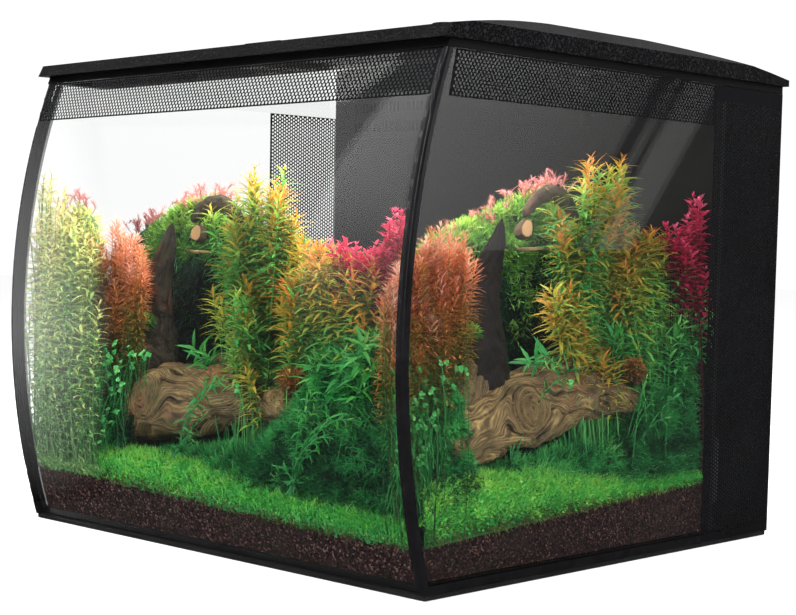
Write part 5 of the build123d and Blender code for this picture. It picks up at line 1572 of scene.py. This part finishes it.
def media_bag(name, node, bead_mat, net_mat, bead, count, seed, ring):
    """Mesh bag: beads or rings heaped in the bag's outer shape, under a net of cords."""
    lo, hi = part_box(node)
    lo, hi = np.array(lo) / MM, np.array(hi) / MM
    g = np.random.default_rng(seed)
    c, h = (lo + hi) / 2, (hi - lo) / 2 - 2.0
    P = []
    while len(P) < count:
        p = g.uniform(-1, 1, 3)
        face = g.integers(0, 3)
        p[face] = np.sign(p[face]) * g.uniform(0.88, 0.97)
        q = np.abs(p) ** 3.2
        if q.sum() > 1.35:
            continue
        P.append(c + p * (h - bead))
    P = np.array(P)
    if ring:
        K, Rr, rr = 12, bead, bead * 0.42
        th = np.linspace(0, 2 * np.pi, K, endpoint=False)
        ax = unit(g.normal(0, 1, (len(P), 3)))
        e1 = unit(np.cross(ax, np.array([0.3, 0.5, 0.81])))
        e2 = np.cross(ax, e1)
        prof = [(bead, -bead * 0.8), (bead, bead * 0.8), (bead * 0.45, bead * 0.8), (bead * 0.45, -bead * 0.8)]
        rings_ = []
        for (rad_, hh) in prof:
            rings_.append(P[:, None] + (e1[:, None] * np.cos(th)[None, :, None] + e2[:, None] * np.sin(th)[None, :, None]) * rad_ + ax[:, None] * hh)
        V = np.stack(rings_, 1)          # (n, 4, K, 3)
        n = len(P)
        base = (np.arange(n) * 4 * K)[:, None, None]
        i = np.arange(4)[None, :, None]
        j = np.arange(K)[None, None, :]
        a0 = base + i * K + j
        a1 = base + i * K + (j + 1) % K
        b0 = base + ((i + 1) % 4) * K + j
        b1 = base + ((i + 1) % 4) * K + (j + 1) % K
        Q = np.stack([a0, a1, b1, b0], -1).reshape(-1, 4)
        build(name + "_rings", V.reshape(-1, 3), [Q], bead_mat, smooth=False, replaces=[node])
    else:
        d = np.array([[1, 0, 0], [0, 1, 0], [-1, 0, 0], [0, -1, 0], [0, 0, 1], [0, 0, -1]], float)
        f = np.array([[0, 1, 4], [1, 2, 4], [2, 3, 4], [3, 0, 4], [1, 0, 5], [2, 1, 5], [3, 2, 5], [0, 3, 5]])
        V = d[None] * bead * g.uniform(0.7, 1.25, (len(P), 6, 1)) + P[:, None]
        F = (f[None] + (np.arange(len(P)) * 6)[:, None, None]).reshape(-1, 3)
        build(name + "_grains", V.reshape(-1, 3), [F], bead_mat, smooth=False, replaces=[node])
    # net: two sets of crossing cords over a superellipsoid of the bag's shape
    paths = []
    def shell(d):
        e = 5.0
        s_ = (np.abs(d[..., 0:1] / h[0]) ** e + np.abs(d[..., 1:2] / h[1]) ** e + np.abs(d[..., 2:3] / h[2]) ** e) ** (-1 / e)
        return c + d * s_
    ph = np.linspace(0.02, np.pi - 0.02, 40)
    for k in range(44):
        for sgn in (-1, 1):
            th0 = 2 * np.pi * k / 44
            a = th0 + sgn * ph * 0.9
            d = np.stack([np.cos(a) * np.sin(ph), np.sin(a) * np.sin(ph), np.cos(ph)], 1) * np.array([h[0], h[1], h[2]])
            pt = shell(unit(d))
            paths.append(pt + unit(pt - c) * 1.2)
    paths = np.array(paths)
    v, q, s_ = tubes(paths, np.full(paths.shape[:2], 0.35), 4)
    build(name + "_net", v, [q], net_mat)


M["ring_media"] = grain_mat("ring_media", (0.52, 0.40, 0.30), (0.76, 0.68, 0.58), 0.75, 0.95, 900, 0.2, 0.8, cell=True)
M["carbon"] = grain_mat("carbon_media", (0.006, 0.006, 0.006), (0.03, 0.03, 0.032), 0.35, 0.6, 1100, 0.2, 0.7, cell=True)
M["net"] = grain_mat("media_net", (0.70, 0.71, 0.72), (0.86, 0.87, 0.88), 0.45, 0.6, 1500, 0.05, 0.5)
media_bag("ring_bag", "ring_media_bag", M["ring_media"], M["net"], 4.6, 620, 801, True)
media_bag("carbon_sack", "carbon_bag", M["carbon"], M["net"], 2.4, 2400, 803, False)

# ------------------------------------------------------------ floor and light
def floor():
    m, nt = mat("studio_floor")
    v = coords(nt)
    n1 = noise(nt, v, 3, 4)
    p = principled(nt, ramp(nt, n1, [(0.3, (0.93, 0.93, 0.93)), (0.7, (0.96, 0.96, 0.96))]), 0.6)
    p.inputs["Specular IOR Level"].default_value = 0.1
    p.inputs["Emission Color"].default_value = (1, 1, 1, 1)
    p.inputs["Emission Strength"].default_value = 0.55
    output(nt, p.outputs[0])
    me = bpy.data.meshes.new("floor")
    # flat square floor, 16 m across, just under the tank
    prof = [(-6.0, 0.0), (4.0, 0.0)]
    vs, fs = [], []
    R = 8.0
    vs = [(-R, -R, -0.0006), (R, -R, -0.0006), (R, R, -0.0006), (-R, R, -0.0006)]
    me.from_pydata(vs, [], [(0, 1, 2, 3)])
    me.materials.append(m)
    o = bpy.data.objects.new("floor", me)
    scene.collection.objects.link(o)
    return o


floor_obj = floor()
floor_obj.visible_glossy = False

world = bpy.data.worlds.new("studio")
scene.world = world
world.use_nodes = True
wnt = world.node_tree
wnt.nodes.clear()
lp = nd(wnt, "ShaderNodeLightPath")
bg_cam = nd(wnt, "ShaderNodeBackground")
bg_cam.inputs["Color"].default_value = (1, 1, 1, 1)
bg_cam.inputs["Strength"].default_value = 1.06
tc = nd(wnt, "ShaderNodeTexCoord")
sep = nd(wnt, "ShaderNodeSeparateXYZ", i_Vector=tc.outputs["Generated"])
elev = rng_map(wnt, sep.outputs["Z"], -1.0, 1.0, 0.0, 1.0)
soft = ramp(wnt, elev, [(0.0, (0.50, 0.50, 0.50)), (0.5, (0.55, 0.55, 0.56)), (0.72, (0.85, 0.85, 0.86)), (1.0, (1.0, 1.0, 1.0))])
gloss = ramp(wnt, elev, [(0.30, (0.10, 0.10, 0.10)), (0.52, (0.16, 0.16, 0.165)), (0.66, (0.55, 0.55, 0.56)), (0.85, (1.0, 1.0, 1.0))])
bg_soft = nd(wnt, "ShaderNodeBackground", i_Color=soft)
bg_soft.inputs["Strength"].default_value = 0.46
bg_gloss = nd(wnt, "ShaderNodeBackground", i_Color=gloss)
bg_gloss.inputs["Strength"].default_value = 0.9
mix1 = nd(wnt, "ShaderNodeMixShader")
wnt.links.new(lp.outputs["Is Glossy Ray"], mix1.inputs[0])
wnt.links.new(bg_soft.outputs[0], mix1.inputs[1])
wnt.links.new(bg_gloss.outputs[0], mix1.inputs[2])
mixw = nd(wnt, "ShaderNodeMixShader")
wnt.links.new(lp.outputs["Is Camera Ray"], mixw.inputs[0])
wnt.links.new(mix1.outputs[0], mixw.inputs[1])
wnt.links.new(bg_cam.outputs[0], mixw.inputs[2])
wo = nd(wnt, "ShaderNodeOutputWorld")
wnt.links.new(mixw.outputs[0], wo.inputs["Surface"])


def area(name, loc, target, size, size_y, power, spread_=180, color=(1, 1, 1), glossy=True):
    l = bpy.data.lights.new(name, "AREA")
    l.shape = "RECTANGLE"
    l.size, l.size_y = size, size_y
    l.energy = power
    l.color = color
    l.spread = math.radians(spread_)
    o = bpy.data.objects.new(name, l)
    scene.collection.objects.link(o)
    o.location = loc
    o.rotation_euler = (Vector(target) - Vector(loc)).to_track_quat("-Z", "Y").to_euler()
    o.visible_glossy = glossy
    return o


area("key", (-0.6, -1.7, 1.5), (0, 0, 0.12), 0.7, 0.7, 54, glossy=False)
area("fill", (1.9, -0.4, 1.2), (0.1, 0, 0.12), 0.9, 0.9, 42, glossy=False)
area("top", (0.1, -0.2, 2.0), (0, 0, 0.2), 1.6, 1.6, 12, glossy=False)
area("tank_lamp", (0, -0.06, 0.317), (0, -0.08, 0), 0.32, 0.16, 2.9, color=(1.0, 0.99, 0.95), glossy=False)

# studio cards that only reflections see.  Each is laid out where its mirror image
# falls on a pane, in pixels of the 796 x 615 frame, and stands 1.5 m away.
def mirrored(px, py, pane, dist):
    d = (px - 398.0) / F_PX * vr - (py - 392.6) / F_PX * vu - vb
    d = d / np.linalg.norm(d)
    if pane == "side":
        t = (X2 - CAM_MM[0]) / d[0]
        n = np.array([1.0, 0, 0])
    else:
        a = d[1] ** 2 + d[2] ** 2
        b = 2 * (d[1] * (CAM_MM[1] - Y_BOW) + d[2] * (CAM_MM[2] - Z_BOW))
        c = (CAM_MM[1] - Y_BOW) ** 2 + (CAM_MM[2] - Z_BOW) ** 2 - R_BOW ** 2
        t = (-b - math.sqrt(max(b * b - 4 * a * c, 0))) / (2 * a)
        q = CAM_MM + t * d
        n = np.array([0, q[1] - Y_BOW, q[2] - Z_BOW])
        n /= np.linalg.norm(n)
    q = CAM_MM + t * d
    return q + dist * (d - 2 * (d @ n) * n)


def card_material():
    m, nt = mat("studio_card")
    e = nd(nt, "ShaderNodeEmission")
    nt.links.new(attr(nt, "glow"), e.inputs["Strength"])
    output(nt, e.outputs[0])
    return m


CARD = card_material()


def card(name, pts, glow, ncol):
    """Emitting sheet from rows of points (mm) with a brightness at each."""
    me = bpy.data.meshes.new(name)
    n = len(pts) // ncol
    f = [(i * ncol + j, i * ncol + j + 1, (i + 1) * ncol + j + 1, (i + 1) * ncol + j)
         for i in range(n - 1) for j in range(ncol - 1)]
    me.from_pydata([tuple(p * MM) for p in pts], [], f)
    a = me.attributes.new("glow", "FLOAT", "POINT")
    a.data.foreach_set("value", np.asarray(glow, np.float32))
    me.materials.append(CARD)
    o = bpy.data.objects.new(name, me)
    scene.collection.objects.link(o)
    o.visible_camera = o.visible_diffuse = o.visible_transmission = o.visible_shadow = False
    o.visible_volume_scatter = False
    return o


def pane_card(name, pane, rows, cols=10, dist=1500.0):
    """rows: (y, x left, x right, glow left, glow right) down the picture."""
    pts, glow = [], []
    for k in range(len(rows) - 1):
        r0, r1 = np.array(rows[k], float), np.array(rows[k + 1], float)
        sub = 4
        for i in range(sub + (k == len(rows) - 2)):
            y, xl, xr, gl, gr = r0 + (r1 - r0) * i / sub
            for j in range(cols):
                f = j / (cols - 1)
                pts.append(mirrored(xl + (xr - xl) * f, y, pane, dist))
                glow.append(gl + (gr - gl) * f)
    return card(name, pts, glow, cols)


def diag(y, x0, y0, slope=-0.55):
    return x0 + slope * (y - y0)


pane_card("card_sweep", "front", [(90, 390, 430, 3.0, 2.7), (98, 383, 428, 3.0, 2.7), (110, 375, 425, 2.9, 2.7), (125, 363, 421, 2.8, 2.5),
                                  (140, 352, 417, 2.7, 2.4), (152, 343, 415, 2.7, 2.3), (164, 334, 412, 2.6, 2.2),
                                  (200, 318, 406, 2.1, 1.8), (250, 300, 400, 1.1, 1.0), (320, 290, 396, 0.3, 0.3), (400, 290, 396, 0.0, 0.0)])
pane_card("card_wedge", "front", [(90, 330, 390, 1.2, 1.2), (98, 330, 383, 1.2, 1.2), (110, 330, 375, 1.2, 1.2), (125, 330, 363, 1.2, 1.2),
                                  (140, 330, 352, 1.2, 1.2), (152, 329, 343, 1.2, 1.2), (164, 328, 334, 1.2, 1.2)], cols=4)
pane_card("card_upper", "front", [(24, 240, 455, 2.0, 4.6), (40, 240, 438, 2.0, 4.6), (60, 240, 402, 2.2, 4.8),
                                  (80, 240, 372, 2.4, 5.0), (100, 240, 343, 2.6, 5.0), (108, 240, 334, 2.6, 5.0)])
pane_card("card_veil", "front", [(60, 10, 90, 0.5, 0.0), (150, 8, 100, 2.4, 0.0), (240, 6, 110, 3.6, 0.0), (330, 6, 114, 4.2, 0.0), (400, 8, 112, 1.8, 0.0),
                                 (450, 12, 110, 0.8, 0.0), (500, 20, 100, 0.0, 0.0)], cols=12)
pane_card("card_band", "front", [(44, 30, 330, 0.0, 0.0), (54, 30, 330, 0.7, 0.0), (80, 30, 330, 0.9, 0.0), (112, 30, 330, 0.8, 0.0), (124, 30, 330, 0.0, 0.0)], cols=14)
S = [45, 70, 95, 120, 150, 180, 215, 250]
pane_card("card_side_broad", "side", [(y, 405, diag(y, 638, 117), 2.2 - 0.006 * max(0, y - 90), 0.85 - 0.003 * max(0, y - 90)) for y in S])
pane_card("card_side_slit", "side", [(y, diag(y, 653, 119), diag(y, 660, 119), 0.8, 0.8) for y in S], cols=3)
pane_card("card_side_pane", "side", [(y, diag(y, 669, 120), diag(y, 702, 123), 0.9, 0.75) for y in S], cols=4)


def arc_card(name, az0, az1, rows, dist=2200.0):
    """Standing strip seen from the object between two directions; rows: (elevation, glow)."""
    pts, glow = [], []
    for e, gl in rows:
        for a in np.linspace(az0, az1, 5):
            a_, e_ = math.radians(a), math.radians(e)
            pts.append(np.array([math.cos(a_) * math.cos(e_), math.sin(a_) * math.cos(e_), math.sin(e_)]) * dist + np.array([0, 0, 200.0]))
            glow.append(gl)
    return card(name, pts, glow, 5)


arc_card("card_post", -58, -36, [(-12, 0.1), (0, 1.2), (12, 2.6), (24, 6.0), (36, 8.5), (46, 5.5)])
# pale room seen by mirror in the underside of the water
arc_card("card_room", 112, 172, [(-34, 1.0), (-20, 1.0), (-10, 1.02), (0, 1.02), (4, 1.0)])
